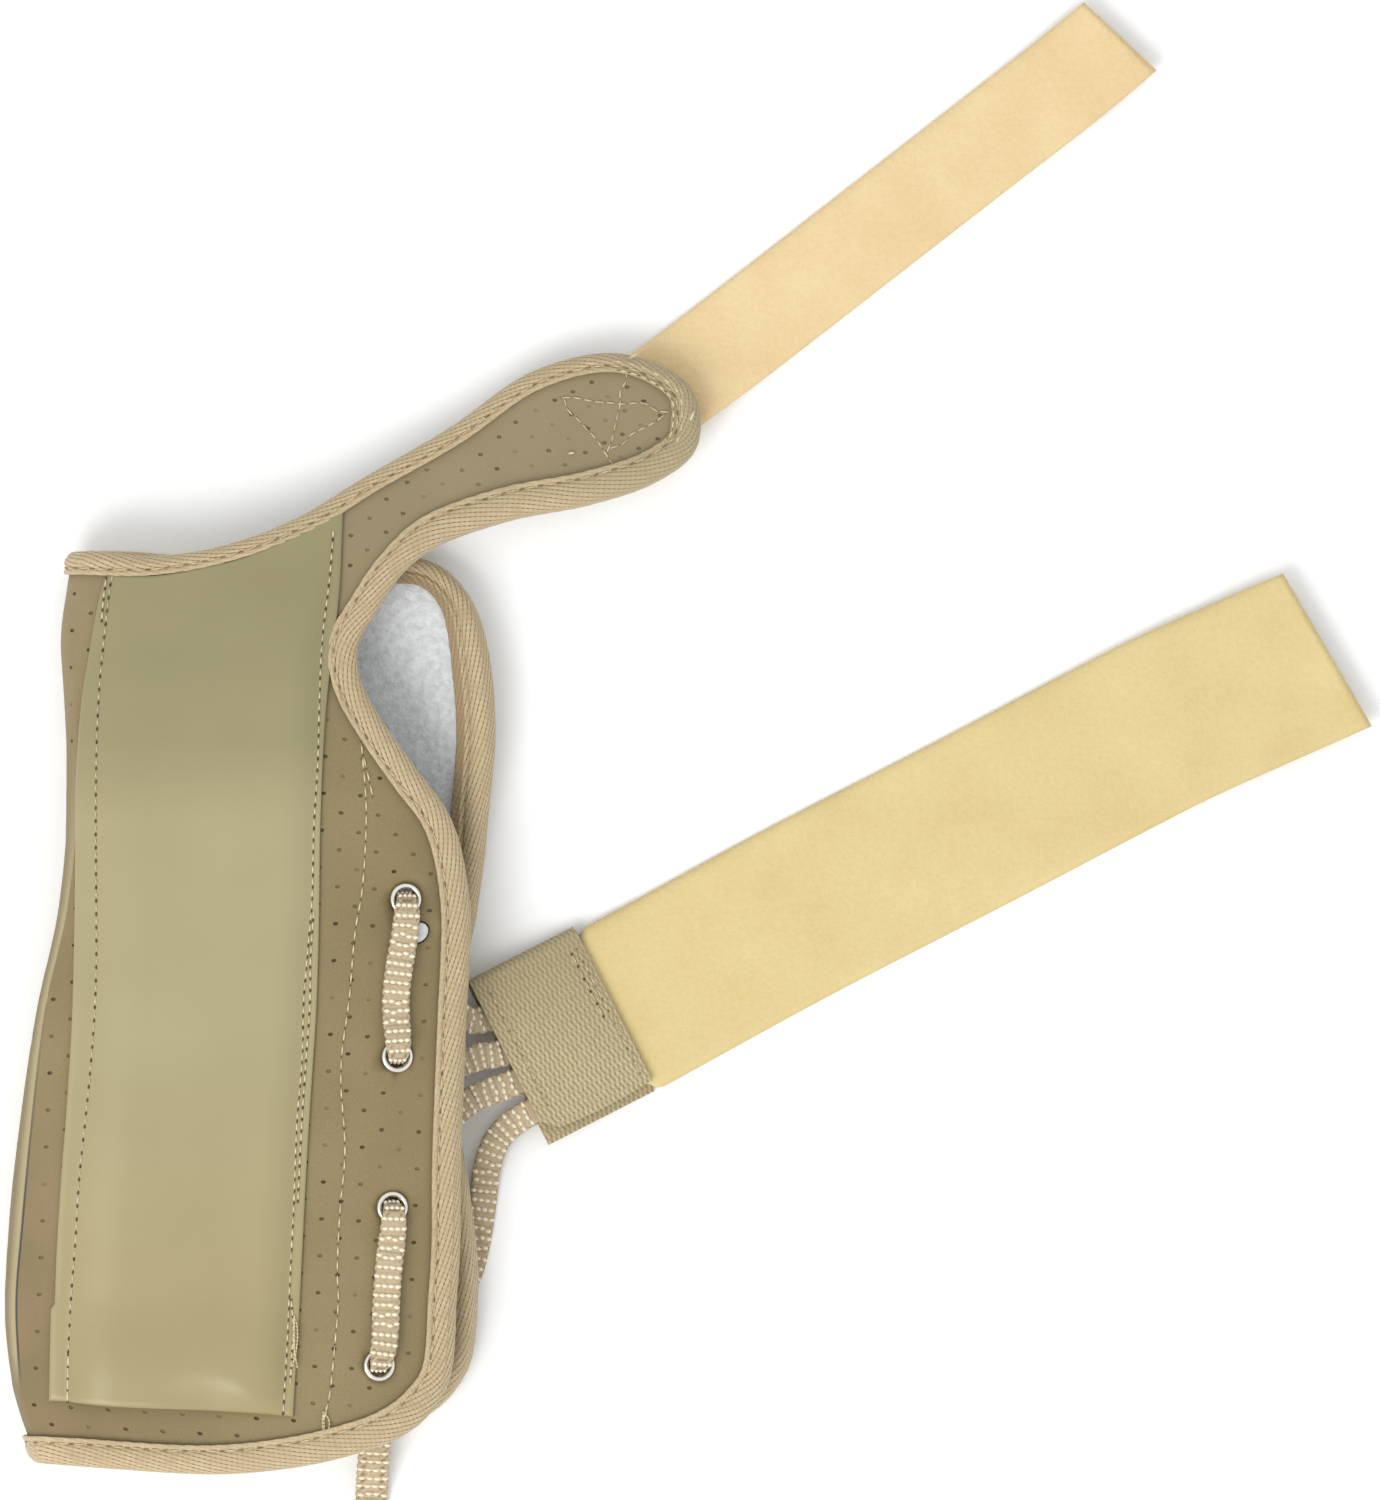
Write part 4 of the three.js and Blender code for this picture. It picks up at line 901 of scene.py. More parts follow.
def pocket_mouth(x):
    """Where the pocket's mouth is at x."""
    return steady(POCKET_MOUTH["x"], POCKET_MOUTH["y"], x)


def pocket_end(x):
    """Where the pocket runs in under the hand hem's tape."""
    hem = steady(HAND_HEM["x"], HAND_HEM["y"], x)
    return hem - steady(HAND_HEM["x"], HAND_HEM["tape"], x) - POCKET["tuck"]


def pocket_lift(x, y):
    """How far the pocket's under face stands off the wrap."""
    from_mouth = y - pocket_mouth(x)
    to_right = seam(RIGHT_SEAM, y) - x
    right_run = RISE["right"] + RISE["by_mouth"] * (1 - smoothstep(from_mouth / RISE["mouth"]))
    left_share = np.clip((x - seam(LEFT_SEAM, y)) / RISE["left"], 0, 1)
    right_share = np.clip(to_right / right_run, 0, 1)
    raised = (1 - (1 - left_share) ** RISE["power"]) * (1 - (1 - right_share) ** RISE["power"])
    closing = smoothstep((pocket_end(x) - y) / RISE["closing"])
    opening = 1 + OPENING["more"] * smoothstep((-y - OPENING["from"]) / OPENING["run"])
    lip_reach = LIP["reach"] + LIP["more"] * smoothstep(to_right / LIP["corner"])
    lip_drop = LIP_DROP["least"] + LIP_DROP["more"] * smoothstep((x - LIP_DROP["from"]) / LIP_DROP["run"])
    lip = 1 - lip_drop * (1 - smoothstep(from_mouth / lip_reach)) ** LIP["power"]
    return POCKET["seat"] + POCKET["bulge"] * raised * closing * opening * lip


vinyl = new_finish("satin vinyl", srgb(162, 152, 114), Roughness=0.36, Specular_IOR_Level=0.5)
middle_across = np.linspace(*POCKET_GRID["span"], POCKET_GRID["across"])
pocket_across = np.concatenate([POCKET_GRID["rim"], middle_across, POCKET_GRID["far_rim"]])
pocket_along = np.sort(np.concatenate([np.linspace(0, 1, POCKET_ROWS["along"]), POCKET_ROWS["closer"]]))
share_along, share_across = (a.ravel() for a in np.meshgrid(pocket_along, pocket_across, indexing="ij"))
# Across and along lean on each other, so both are worked out a few times over
pocket_y = POCKET_SIZE["from"] + POCKET_SIZE["along"] * share_along
for _ in range(POCKET_SIZE["rounds"]):
    left = seam(POCKET_LEFT, pocket_y)
    pocket_x = left + (seam(POCKET_RIGHT, pocket_y) - left) * share_across
    mouth = pocket_mouth(pocket_x)
    pocket_y = mouth + (pocket_end(pocket_x) - mouth) * share_along
pocket_u = palm_u(pocket_x, pocket_y)
pocket_under = pocket_lift(pocket_x, pocket_y)
from_side = np.minimum(share_across, 1 - share_across) * POCKET_SIZE["across"]
from_rim = np.minimum(from_side, share_along * POCKET_SIZE["along"])
rounding = POCKET["rounding"] * np.clip(1 - from_rim / POCKET["round_run"], 0, 1) ** 2
pocket_points = np.vstack([
    place(pocket_u, pocket_y, pocket_under + POCKET["thick"] - rounding),
    place(pocket_u, pocket_y, pocket_under),
])
pocket_rows, pocket_columns = len(pocket_along), len(pocket_across)
pocket_upper = grid_faces(pocket_rows, pocket_columns)
pocket_count = pocket_rows * pocket_columns
pocket_index = np.arange(pocket_count).reshape(pocket_rows, pocket_columns)
pocket_border = np.concatenate([
    pocket_index[0],
    pocket_index[1:, -1],
    pocket_index[-1, -2::-1],
    pocket_index[-2:0:-1, 0],
])
pocket_faces = [*pocket_upper.tolist(), *(pocket_upper[:, ::-1] + pocket_count).tolist()]
pocket_faces += wall_faces(pocket_border, pocket_border + pocket_count)
pocket = mesh_piece("pocket_vinyl", pocket_points, pocket_faces, vinyl)
vinyl_spot = spot_in(vinyl)
vinyl_grain = add_node(
    vinyl.node_tree,
    "ShaderNodeTexVoronoi",
    {"Vector": vinyl_spot, "Scale": 1500.0, "Randomness": 0.9},
).outputs["Distance"]
# The ramp along the pocket paints the shade of its slopes into the vinyl's colour
vinyl_along = ranged(part(vinyl_spot, "Y"), VINYL_SPAN[0] / 1000, VINYL_SPAN[1] / 1000)
vinyl_shade_ramp = add_node(vinyl.node_tree, "ShaderNodeValToRGB", {"Fac": vinyl_along})
stops = vinyl_shade_ramp.color_ramp.elements
stops.remove(stops[0])
for number, (y, tone) in enumerate(VINYL_SHADE_TONES):
    ramp_place = (y - VINYL_SPAN[0]) / (VINYL_SPAN[1] - VINYL_SPAN[0])
    stop = stops[0] if number == 0 else stops.new(ramp_place)
    stop.position = ramp_place
    stop.color = srgb(*tone)
vinyl_shaded_tone = mixed(0.22, vinyl_shade_ramp.outputs[0], noise(vinyl_spot, 22, 4), "SOFT_LIGHT")
colour_finish(vinyl, vinyl_shaded_tone, vinyl_grain, 0.12, 0.08)
dress_node(pocket, "stay_pocket")

# Eyelets
# Four polished nickel eyelets, set through the lace edge: a rolled rim on the palm side, a barrel through
# the sheet and a flange under the lining.
EYELET = {"bore": 2.4, "barrel": 2.75, "flange": 3.6, "rise": 0.8, "seat": 0.3, "sides": 48, "roll": 11}
EYELET_FOOT = {"flange": 3.3, "below": 0.9, "thick": 0.6, "bevel": 0.15, "bore": -2}


def palm_spot(x, y):
    """A point of the palm half, and the way out there."""
    u, v = palm_u(x, np.array([y])), np.array([y])
    return skin(u, v)[0], outward(u, v)[0]


nickel = new_finish("polished nickel", (0.86, 0.84, 0.8, 1), Metallic=1.0, Roughness=0.16)
nickel_dull = ranged(noise(spot_in(nickel), 900, 4), 0, 1, 0.1, 0.26)
nickel.node_tree.links.new(nickel_dull, nickel.node_tree.nodes["Principled BSDF"].inputs["Roughness"])
roll = np.radians(np.linspace(0, 180, EYELET["roll"]))
rim_middle = (EYELET["bore"] + EYELET["flange"]) / 2
rim_half = (EYELET["flange"] - EYELET["bore"]) / 2
bevel = EYELET_FOOT["bevel"]
eyelet_low = LINING["face"] - EYELET_FOOT["below"]
foot_top = eyelet_low + EYELET_FOOT["thick"]
eyelet_section = np.vstack([
    np.stack([rim_middle + rim_half * np.cos(roll), EYELET["seat"] + EYELET["rise"] * np.sin(roll)], axis=1),
    [(EYELET["bore"], 0), (EYELET["bore"], EYELET_FOOT["bore"]), (EYELET["bore"], eyelet_low + bevel)],
    [(EYELET["bore"] + bevel, eyelet_low), (EYELET_FOOT["flange"] - bevel, eyelet_low)],
    [(EYELET_FOOT["flange"], eyelet_low + bevel), (EYELET_FOOT["flange"], foot_top)],
    [(EYELET["barrel"], foot_top), (EYELET["barrel"], EYELET["seat"])],
])
radii, lifts = eyelet_section.T
turns_round = np.arange(EYELET["sides"]) * 2 * math.pi / EYELET["sides"]
eyelet_faces = grid_faces(EYELET["sides"], len(eyelet_section), True, True)[:, ::-1]
for number, (x, y) in enumerate(EYELET_HOLES, 1):
    centre, up = palm_spot(x, y)
    east = np.cross((0, 1, 0), up)
    east /= np.linalg.norm(east)
    north = np.cross(up, east)
    ring_ways = np.cos(turns_round)[:, None] * east + np.sin(turns_round)[:, None] * north
    eyelet_points = centre + radii[None, :, None] * ring_ways[:, None] + lifts[None, :, None] * up
    eyelet = mesh_piece(f"eyelet_nickel_{number}", eyelet_points.reshape(-1, 3), eyelet_faces, nickel)
    dress_node(eyelet, f"eyelet_{number}")

# Tab
# A piece of woven webbing folded over along its hand side, with the lace ends and the start of the wide
# strap sewn between its two layers.
TAB = {"length": 26.7, "layer": 1.0, "space": 2.6, "fold": 21, "low": -20, "cut": 83.5}
TAB_UPPER = {"along": (0, 4, 16, 26.7), "edge": (-14.3, -17.6, -18.2, -17.6)}
TAB_FROM = (57.6, -12.1, 7.2)
TAB_TO = (81.4, 0, 2.65)
TAB_STEPS = {"along": 98, "upper": 120, "round": 18, "lower": 110}
WEAVE = {"across": 2.4, "along": 1.15, "slant": 0.4, "even": 0.62}
WEAVE_HEIGHT = {"wave": 0.13, "sink": 0.15, "inside": 0.3}
tab_from = np.array(TAB_FROM)
tab_along = np.array(TAB_TO) - tab_from
tab_along /= np.linalg.norm(tab_along)
tab_across = np.array((-tab_along[1], tab_along[0], 0)) / np.hypot(tab_along[0], tab_along[1])
tab_up = np.cross(tab_along, tab_across)


def on_tab(along, across, up=0.0):
    """A point of the tab's own frame."""
    along, across, up = (np.asarray(a, float)[..., None] for a in (along, across, up))
    return tab_from + along * tab_along + across * tab_across + up * tab_up


def band_faces(rows, columns):
    """The faces of a closed band, whose rings go over its upper columns and back under, and its ends."""
    ring = 2 * columns
    faces = grid_faces(rows, ring, False, True)[:, ::-1].tolist()
    last = (rows - 1) * ring
    for k in range(columns - 1):
        end = [k, k + 1, ring - 2 - k, ring - 1 - k]
        faces += [end, [last + corner for corner in end[::-1]]]
    return faces


webbing = new_finish("woven webbing", srgb(176, 157, 116), Roughness=0.85, Sheen_Weight=0.2)
tab_outer = TAB["space"] / 2 + TAB["layer"]
fold_from = TAB["fold"] - tab_outer
tab_turn = np.radians(np.linspace(90, -90, TAB_STEPS["round"] + 2)[1:-1])
flat_upper, flat_lower = np.ones(TAB_STEPS["upper"]), np.ones(TAB_STEPS["lower"])
out_across = np.concatenate([0 * flat_upper, np.cos(tab_turn), 0 * flat_lower])
out_up = np.concatenate([flat_upper, np.sin(tab_turn), -flat_lower])
lower = np.linspace(fold_from, TAB["low"], TAB_STEPS["lower"])
tab_rings = []
tab_waves = []
for along in np.linspace(0, TAB["length"], TAB_STEPS["along"]):
    edge = steady(TAB_UPPER["along"], TAB_UPPER["edge"], np.array([along]))[0]
    upper = np.linspace(edge, fold_from, TAB_STEPS["upper"])
    across = np.concatenate([upper, fold_from + tab_outer * np.cos(tab_turn), lower])
    round_run = (math.pi / 2 - tab_turn) * tab_outer
    run = np.concatenate([upper - fold_from, round_run, math.pi * tab_outer + fold_from - lower])
    cross_turn = run / WEAVE["across"]
    chevron = np.abs(cross_turn % 1 - 0.5) * 2
    strength = WEAVE["even"] + (1 - WEAVE["even"]) * np.cos(4 * math.pi * cross_turn)
    wave = np.sin(2 * math.pi * (along / WEAVE["along"] + WEAVE["slant"] * chevron)) * strength
    weave = WEAVE_HEIGHT["wave"] * wave - WEAVE_HEIGHT["sink"]
    inside = TAB["layer"] - WEAVE_HEIGHT["inside"] + weave
    outer = on_tab(along, across + weave * out_across, (tab_outer + weave) * out_up)
    inner = on_tab(along, across - inside * out_across, (tab_outer - inside) * out_up)
    tab_rings.append(np.vstack([outer, inner[::-1]]))
    tab_waves.append(np.concatenate([wave, -wave[::-1]]))
tab = mesh_piece(
    "tab_webbing",
    np.vstack(tab_rings),
    band_faces(TAB_STEPS["along"], len(out_up)),
    webbing,
    weave=np.concatenate(tab_waves),
)
web_spot = spot_in(webbing)
web_fibre = noise(web_spot, 1400, 3)
# Painted shade: the weave is darker where it sinks
web_shaded_tone = two_tones(ranged(marked(webbing, "weave"), -1, 1), srgb(130, 114, 79), srgb(203, 188, 151))
web_shaded_tone = mixed(0.5, web_shaded_tone, web_fibre, "SOFT_LIGHT")
# Painted shade: the tab darkens towards its rounded fold, which turns away from the light
web_fold_shade = ranged(part(web_spot, "Y"), -0.012, 0.012, 0, 0.45)
colour_finish(webbing, mixed(web_fold_shade, web_shaded_tone, srgb(138, 124, 90)), web_fibre, 0.4, 0.1)
dress_node(tab, "lace_tab")

# Laces
# Flat tan braid with cream floats in rows across it. The upper lace runs from the tab up eyelet 1 and down
# eyelet 2, the lower one up eyelet 3 and down eyelet 4, and its free tail leaves the forearm end. A short
# one goes under.
LACE = {"width": 6.2, "thick": 1.3, "bore_thick": 1.4, "bore_under": 5, "step": 0.42, "sides": 22}
LACE_SECTION = {"side": 0.55, "up": 0.8, "bite": 0.05, "bite_power": 6}
TAIL = {"width": 7.2, "thick": 1.2}
PLAIT = {"along": 1.85, "across": 1.5, "height": 0.14}
FLOAT = {"row": 2.15, "end": 0.8, "length": 1.36, "count": 4, "drift": 0.1, "sink": 0.14}
FLOAT_YARN = {"thread": 0.46, "arch": 0.3}
FLOAT_SPREAD = {"share": 0.94, "shift": 0.03, "power": 3.6, "round": 0.4}
# Rows up through an eyelet: how far inward, onward and up from its middle, and the lace's width
CROSSING = [
    (5.6, 0, -7.8, 6.2), (3.2, 0, -7, 5.6), (0.8, 0, -5.7, 3.9), (0, -0.4, -3.4, 3.9),
    (0, -0.55, 0.2, 3.9), (0, 0.6, 2.1, 4.9), (0, 3.2, 2.55, 5.9), (0, 7, 1.9, 6.2),
]
CROSSING_TURN = 2
TAIL_ROWS = 6
TAIL_GAPS = (0.3, 1.5)


def lace_rows(*rows, width=LACE["width"], thick=LACE["thick"]):
    """Rows of a lace's way from x, y, z and the direction across it: with its width and thickness."""
    return [np.array((*row, 0, width, thick), float) for row in rows]


def tab_laces(*rows):
    """Rows of a lace's way between the layers of the tab, from places along and across it."""
    return [np.array((*on_tab(*row), *tab_across, LACE["width"], LACE["thick"])) for row in rows]


def over_palm(sign, *rows):
    """Rows of a lace that lies on the palm half, from x, y and a lift."""
    heights = [palm_height(np.array([x]), np.array([y]))[0] + lift for x, y, lift in rows]
    return lace_rows(*((x, y, height, sign, 0) for (x, y, _), height in zip(rows, heights)))


def crossing(eyelet, in_x, in_y, on_x, on_y, sign):
    """The rows of a lace from inside the sleeve up through an eyelet and off along the top."""
    centre, up = palm_spot(*EYELET_HOLES[eyelet])

    def level(dx, dy):
        """A direction laid flat on the sleeve."""
        way = np.array((dx, dy, 0)) - up * np.dot((dx, dy, 0), up)
        return way / np.linalg.norm(way)

    in_way = level(in_x, in_y)
    on_way = level(on_x, on_y)
    rows = []
    for inward, onward, lift, width in CROSSING:
        at = centre + inward * in_way + onward * on_way + lift * up
        turned = level(sign, 0)
        if inward > CROSSING_TURN:
            turned = level(abs(in_y), in_x * -np.sign(in_y)) * sign
        thick = LACE["bore_thick"] if width < LACE["bore_under"] else LACE["thick"]
        rows.append(np.array((*at, *turned, width, thick)))
    return rows


last_crossing = crossing(3, 0, -1, 0.15, 1, -1)[::-1][:TAIL_ROWS]
lace_end = last_crossing[-1]
downward = lace_end[:3] - last_crossing[-2][:3]
downward /= np.linalg.norm(downward)
LACE_WAYS = {
    "lace_upper": [
        *tab_laces((8, 11.4), (0, 11.4)),
        *lace_rows((48.6, -2.2, 8.6, 0, 1), (44.3, 0.4, 10.2, 0.5, 0.86)),
        *lace_rows((40.2, 7.5, 12.3, 0.87, 0.5), (37.2, 14.6, 14.6, 0.93, 0.36)),
        *crossing(0, 0.25, -0.97, -0.06, -1, 1),
        *over_palm(1, (33.2, 8.5, 1.5), (32.6, 2, 1.4)),
        *crossing(1, 0.75, -0.66, -0.06, 1, 1)[::-1],
        *lace_rows((41.4, -15.4, 12.8, 0.3, 0.95), (46, -12.5, 10, -0.3, 0.95), (51, -10.4, 8.4, -0.3, 0.95)),
        *tab_laces((0, 2.9), (8, 2.9)),
    ],
    "lace_lower": [
        *tab_laces((8, -4.2), (0, -4.2)),
        *lace_rows((49.6, -19.8, 8.7, -0.5, 0.86), (45, -23.6, 10, -0.7, 0.7)),
        *lace_rows((40.2, -30.6, 12.4, -0.85, 0.53), (37.2, -35.6, 14.9, -0.84, 0.54)),
        *crossing(2, 0.55, 0.83, -0.04, -1, -1),
        *over_palm(-1, (31.1, -56, 1.5), (30.4, -66, 1.4)),
        *last_crossing,
    ],
    "lace_short": [
        *tab_laces((8, -11.7), (0.4, -11.7)),
        *lace_rows((58.7, -25, 6, -0.45, 0.89), (55, -28.8, 4.4, -0.75, 0.66)),
        *lace_rows((52.8, -34.4, 2.6, -0.97, 0.2), (51.8, -42, 1.2, -1, 0.05)),
        *lace_rows((50.5, -51, 0.8, -0.98, 0.15), (48.6, -58.6, 0.75, -0.92, 0.4)),
        *lace_rows((45.6, -64.2, 0.75, -0.8, 0.6), (42.4, -67.6, 0.75, -0.7, 0.7)),
    ],
    "lace_tail": [
        *(np.concatenate([lace_end[:3] + gap * downward, lace_end[3:]]) for gap in TAIL_GAPS),
        *lace_rows((28.7, -84.2, 14.6, -1, 0)),
        *lace_rows((28.3, -88.6, 12, -1, 0), (27.9, -93.4, 9.6, -1, 0), (27.6, -98, 7.5, -1, 0), **TAIL),
        *lace_rows((27.2, -103, 5, -1, 0), (26.9, -108, 1.9, -1, 0), (26.7, -112, 0.95, -1, 0), **TAIL),
        *lace_rows((26.5, -122, 0.85, -1, 0), **TAIL),
    ],
}


def ribbon_way(rows, step, square=True):
    """A ribbon's way in even steps: places, directions across and up, widths, thicknesses and runs."""
    rows = np.array(rows, float)
    fine = np.linspace(0, len(rows) - 1, 90 * len(rows))
    run = run_along(spline(rows[:, :3], fine))
    goal = np.linspace(0, run[-1], max(2, round(run[-1] / step)) + 1)
    at = np.interp(goal, run, fine)
    places = spline(rows[:, :3], at)
    along = np.gradient(places, axis=0)
    along /= np.linalg.norm(along, axis=1, keepdims=True)
    across = spline(rows[:, 3:6], at, tension=0.5)
    if square:
        across = across - along * (across * along).sum(axis=1, keepdims=True)
    across /= np.linalg.norm(across, axis=1, keepdims=True)
    up = np.cross(along, across)
    up /= np.linalg.norm(up, axis=1, keepdims=True)
    sizes = spline(np.pad(rows[:, 6:8], ((0, 0), (0, 1))), at, tension=0.2)
    return places, across, up, sizes[:, 0], sizes[:, 1], goal


def tube_faces(rows, columns):
    """Faces of a closed tube of rings, with one face over each end."""
    faces = grid_faces(rows, columns, False, True).tolist()
    last = (rows - 1) * columns
    return [*faces, list(range(columns))[::-1], list(range(last, last + columns))]


def valleys(turns):
    """A wave with broad backs and sharp valleys, from 0 to 1."""
    return np.abs(np.cos(np.pi * turns))


def new_rows():
    """An empty list of thread lengths or needle holes."""
    return {"points": [], "ways": [], "ups": [], "lengths": []}


def lay(rows, points, ways, ups, length):
    """Adds lengths of thread, or needle holes, to a list."""
    rows["points"].extend(points)
    rows["ways"].extend(ways)
    rows["ups"].extend(ups)
    rows["lengths"].extend(np.broadcast_to(length, len(points)))


braid = new_finish("flat braid", srgb(188, 152, 114), Roughness=0.75, Sheen_Weight=0.2)
cream_yarn = new_finish("cream yarn", srgb(250, 238, 212), Roughness=0.6, Sheen_Weight=0.3)
lace_turn = np.arange(LACE["sides"]) * 2 * math.pi / LACE["sides"]
side_share = np.sign(np.cos(lace_turn)) * np.abs(np.cos(lace_turn)) ** LACE_SECTION["side"]
up_share = np.sign(np.sin(lace_turn)) * np.abs(np.sin(lace_turn)) ** LACE_SECTION["up"]
float_spots = (np.arange(FLOAT["count"]) - (FLOAT["count"] - 1) / 2) / FLOAT["count"]
float_rows = new_rows()
for name, rows in LACE_WAYS.items():
    places, across, up, width, thick, run = ribbon_way(rows, LACE["step"])
    x = 0.5 * width[:, None] * side_share
    turns = run[:, None] / PLAIT["along"]
    plait = np.maximum(valleys(turns + x / PLAIT["across"]), valleys(turns - x / PLAIT["across"]))
    height = (0.5 * thick[:, None] - PLAIT["height"] * (1 - plait)) * up_share
    bite = 1 - LACE_SECTION["bite"] * (1 - valleys(turns)) * np.abs(side_share) ** LACE_SECTION["bite_power"]
    points = places[:, None] + (x * bite)[..., None] * across[:, None] + height[..., None] * up[:, None]
    piece = mesh_piece(
        f"{name}_braid",
        points.reshape(-1, 3),
        tube_faces(len(run), LACE["sides"]),
        braid,
        plait=plait.ravel(),
    )
    dress_node(piece, name)
    for number, goal in enumerate(np.arange(FLOAT["end"], run[-1] - FLOAT["end"], FLOAT["row"])):
        for spot in float_spots:
            drift = FLOAT["drift"] * math.sin(9 * spot + 2 * number)
            k = int(np.argmin(np.abs(run - goal - drift)))
            side = FLOAT_SPREAD["share"] * spot + FLOAT_SPREAD["shift"] * (-1) ** number
            bulge = np.clip(1 - abs(2 * side) ** FLOAT_SPREAD["power"], 0, 1) ** FLOAT_SPREAD["round"]
            middle = places[k] + side * width[k] * across[k]
            lift = (0.5 * thick[k] * bulge - FLOAT["sink"]) * up[k]
            way = across[k] + drift * np.cross(up[k], across[k])
            length = FLOAT["length"] * width[k] / LACE["width"]
            lay(float_rows, [middle + lift, middle - lift], [way, way], [up[k], -up[k]], length)
braid_fibre = noise(spot_in(braid), 2200, 3)
# Painted shade: the braid is darker in the valleys between its plaits
braid_shaded_tone = two_tones(marked(braid, "plait"), srgb(130, 111, 84), srgb(181, 162, 131), 0.45, 0.95)
colour_finish(braid, mixed(0.5, braid_shaded_tone, braid_fibre, "SOFT_LIGHT"), braid_fibre, 0.5, 0.12)
cream_fibre = noise(spot_in(cream_yarn), 3200, 2)
colour_finish(cream_yarn, two_tones(cream_fibre, srgb(218, 204, 176), srgb(244, 235, 213)))


def set_on_points(tree, given, shape, wide, high):
    """Sets a shape at each point of a piece, along its way and up its face, at its own length."""
    axes = {
        "Primary Axis": stored(tree, "up", "FLOAT_VECTOR"),
        "Secondary Axis": stored(tree, "way", "FLOAT_VECTOR"),
    }
    turn = add_node(tree, "FunctionNodeAxesToRotation", axes, primary_axis="Z", secondary_axis="X").outputs[0]
    sizes = {"X": stored(tree, "length"), "Y": wide, "Z": high}
    size = add_node(tree, "ShaderNodeCombineXYZ", sizes).outputs[0]
    points = add_node(tree, "GeometryNodeMeshToPoints", {"Mesh": given.outputs[0]}).outputs[0]
    settings = {"Points": points, "Instance": shape, "Rotation": turn, "Scale": size}
    return add_node(tree, "GeometryNodeInstanceOnPoints", settings).outputs[0]


def rows_piece(name, rows, tree, finish, slot, **sizes):
    """A piece that a tree grows from rows of points with their ways, their faces and their lengths."""
    piece = mesh_piece(name, rows["points"], [], finish, length=np.array(rows["lengths"]) / 1000)
    for key in ("way", "up"):
        layer = piece.data.attributes.new(key, "FLOAT_VECTOR", "POINT")
        layer.data.foreach_set("vector", np.asarray(rows[f"{key}s"], np.float32).ravel())
    grow(piece, tree, finish, **{key: size / 1000 for key, size in sizes.items()})
    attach(piece, "root")


# One tree makes every short length of thread: an arched piece of yarn, thinner at its ends
THREAD = {"arc": 6, "sides": 6, "full": 0.5, "thin": 0.3}
thread_tree, thread_given, thread_output = new_tree("thread lengths", ("Thread", "Arch"))
thread_peak = add_node(thread_tree, "ShaderNodeCombineXYZ", {"Z": thread_given.outputs["Arch"]}).outputs[0]
thread_arc = add_node(
    thread_tree,
    "GeometryNodeCurveQuadraticBezier",
    {"Resolution": THREAD["arc"], "Start": (-0.5, 0, 0), "Middle": thread_peak, "End": (0.5, 0, 0)},
)
thread_round = add_node(
    thread_tree,
    "GeometryNodeCurvePrimitiveCircle",
    {"Resolution": THREAD["sides"], "Radius": thread_given.outputs["Thread"]},
    mode="RADIUS",
)
thread_at = add_node(thread_tree, "GeometryNodeSplineParameter").outputs["Factor"]
thread_swell = reckon("SINE", reckon("MULTIPLY", thread_at, math.pi))
thread_thick = reckon("MAXIMUM", reckon("POWER", thread_swell, THREAD["full"]), THREAD["thin"])
thread_tube = add_node(
    thread_tree,
    "GeometryNodeCurveToMesh",
    {
        "Curve": thread_arc.outputs[0],
        "Profile Curve": thread_round.outputs[0],
        "Scale": thread_thick,
        "Fill Caps": True,
    },
)
thread_set = set_on_points(thread_tree, thread_given, thread_tube.outputs[0], 1.0, 1.0)
thread_smooth = add_node(thread_tree, "GeometryNodeSetShadeSmooth", {"Geometry": thread_set})
close_tree(thread_tree, thread_smooth.outputs[0], thread_given, thread_output)
rows_piece(
    "lace_floats",
    float_rows,
    thread_tree,
    cream_yarn,
    "braid",
    Thread=FLOAT_YARN["thread"],
    Arch=FLOAT_YARN["arch"],
)

# Straps
# Two hook-and-loop straps: a wide yellow-cream one that starts inside the tab, and a narrow peach-cream one
# sewn under the end of the neck. Both lie on the table and lift a little at their free ends.
CLOSURE = {"width": 39.4, "thick": 1.8, "columns": 26}
THUMB = {"width": 22.2, "thick": 1.6, "columns": 18}
STRAP = {"step": 1.6, "selvedge": 0.5, "thin": 0.12}
# The wide strap inside the tab: places along and across the tab, and how much narrower it is there
CLOSURE_START = [(21, -0.6, 5.4), (26.1, -0.6, 5.2)]
# Rows of place, tilt and slant, and the direction across each strap before both
CLOSURE_WAY = [
    (82.4, 0.1, 2.55, 0, 0), (96.2, 7.7, 1.35, 0, 0), (120.2, 20.8, 1, 0, 0), (162.2, 42.5, 1, 0, 0),
    (190.2, 57.2, 1.5, 0, 0), (204.7, 64.6, 2.2, 0, 0), (222, 72.4, 3, 0, 0.02), (239.6, 80.1, 4.2, 0, 0.07),
]
CLOSURE_ACROSS = (-0.45, 0.893)
THUMB_WAY = [
    (72, 124.2, 5.1, -0.14, 0), (93.1, 138.4, 3.3, -0.14, 0), (104, 146.5, 2.1, -0.08, 0),
    (114.4, 154.5, 1.2, -0.02, 0), (140, 174.4, 0.85, 0, 0), (165.6, 194.3, 1, 0, 0),
    (182, 207, 2, 0, 0.02), (193.5, 216.6, 3.4, 0, 0.25),
]
THUMB_ACROSS = (-0.6, 0.8)


def strap_rows(way, across, size):
    """The rows of a strap's way, as a ribbon takes them."""
    sizes = (size["width"], size["thick"])
    return [np.array((x, y, z, across[0] - slant, across[1], tilt, *sizes)) for x, y, z, tilt, slant in way]


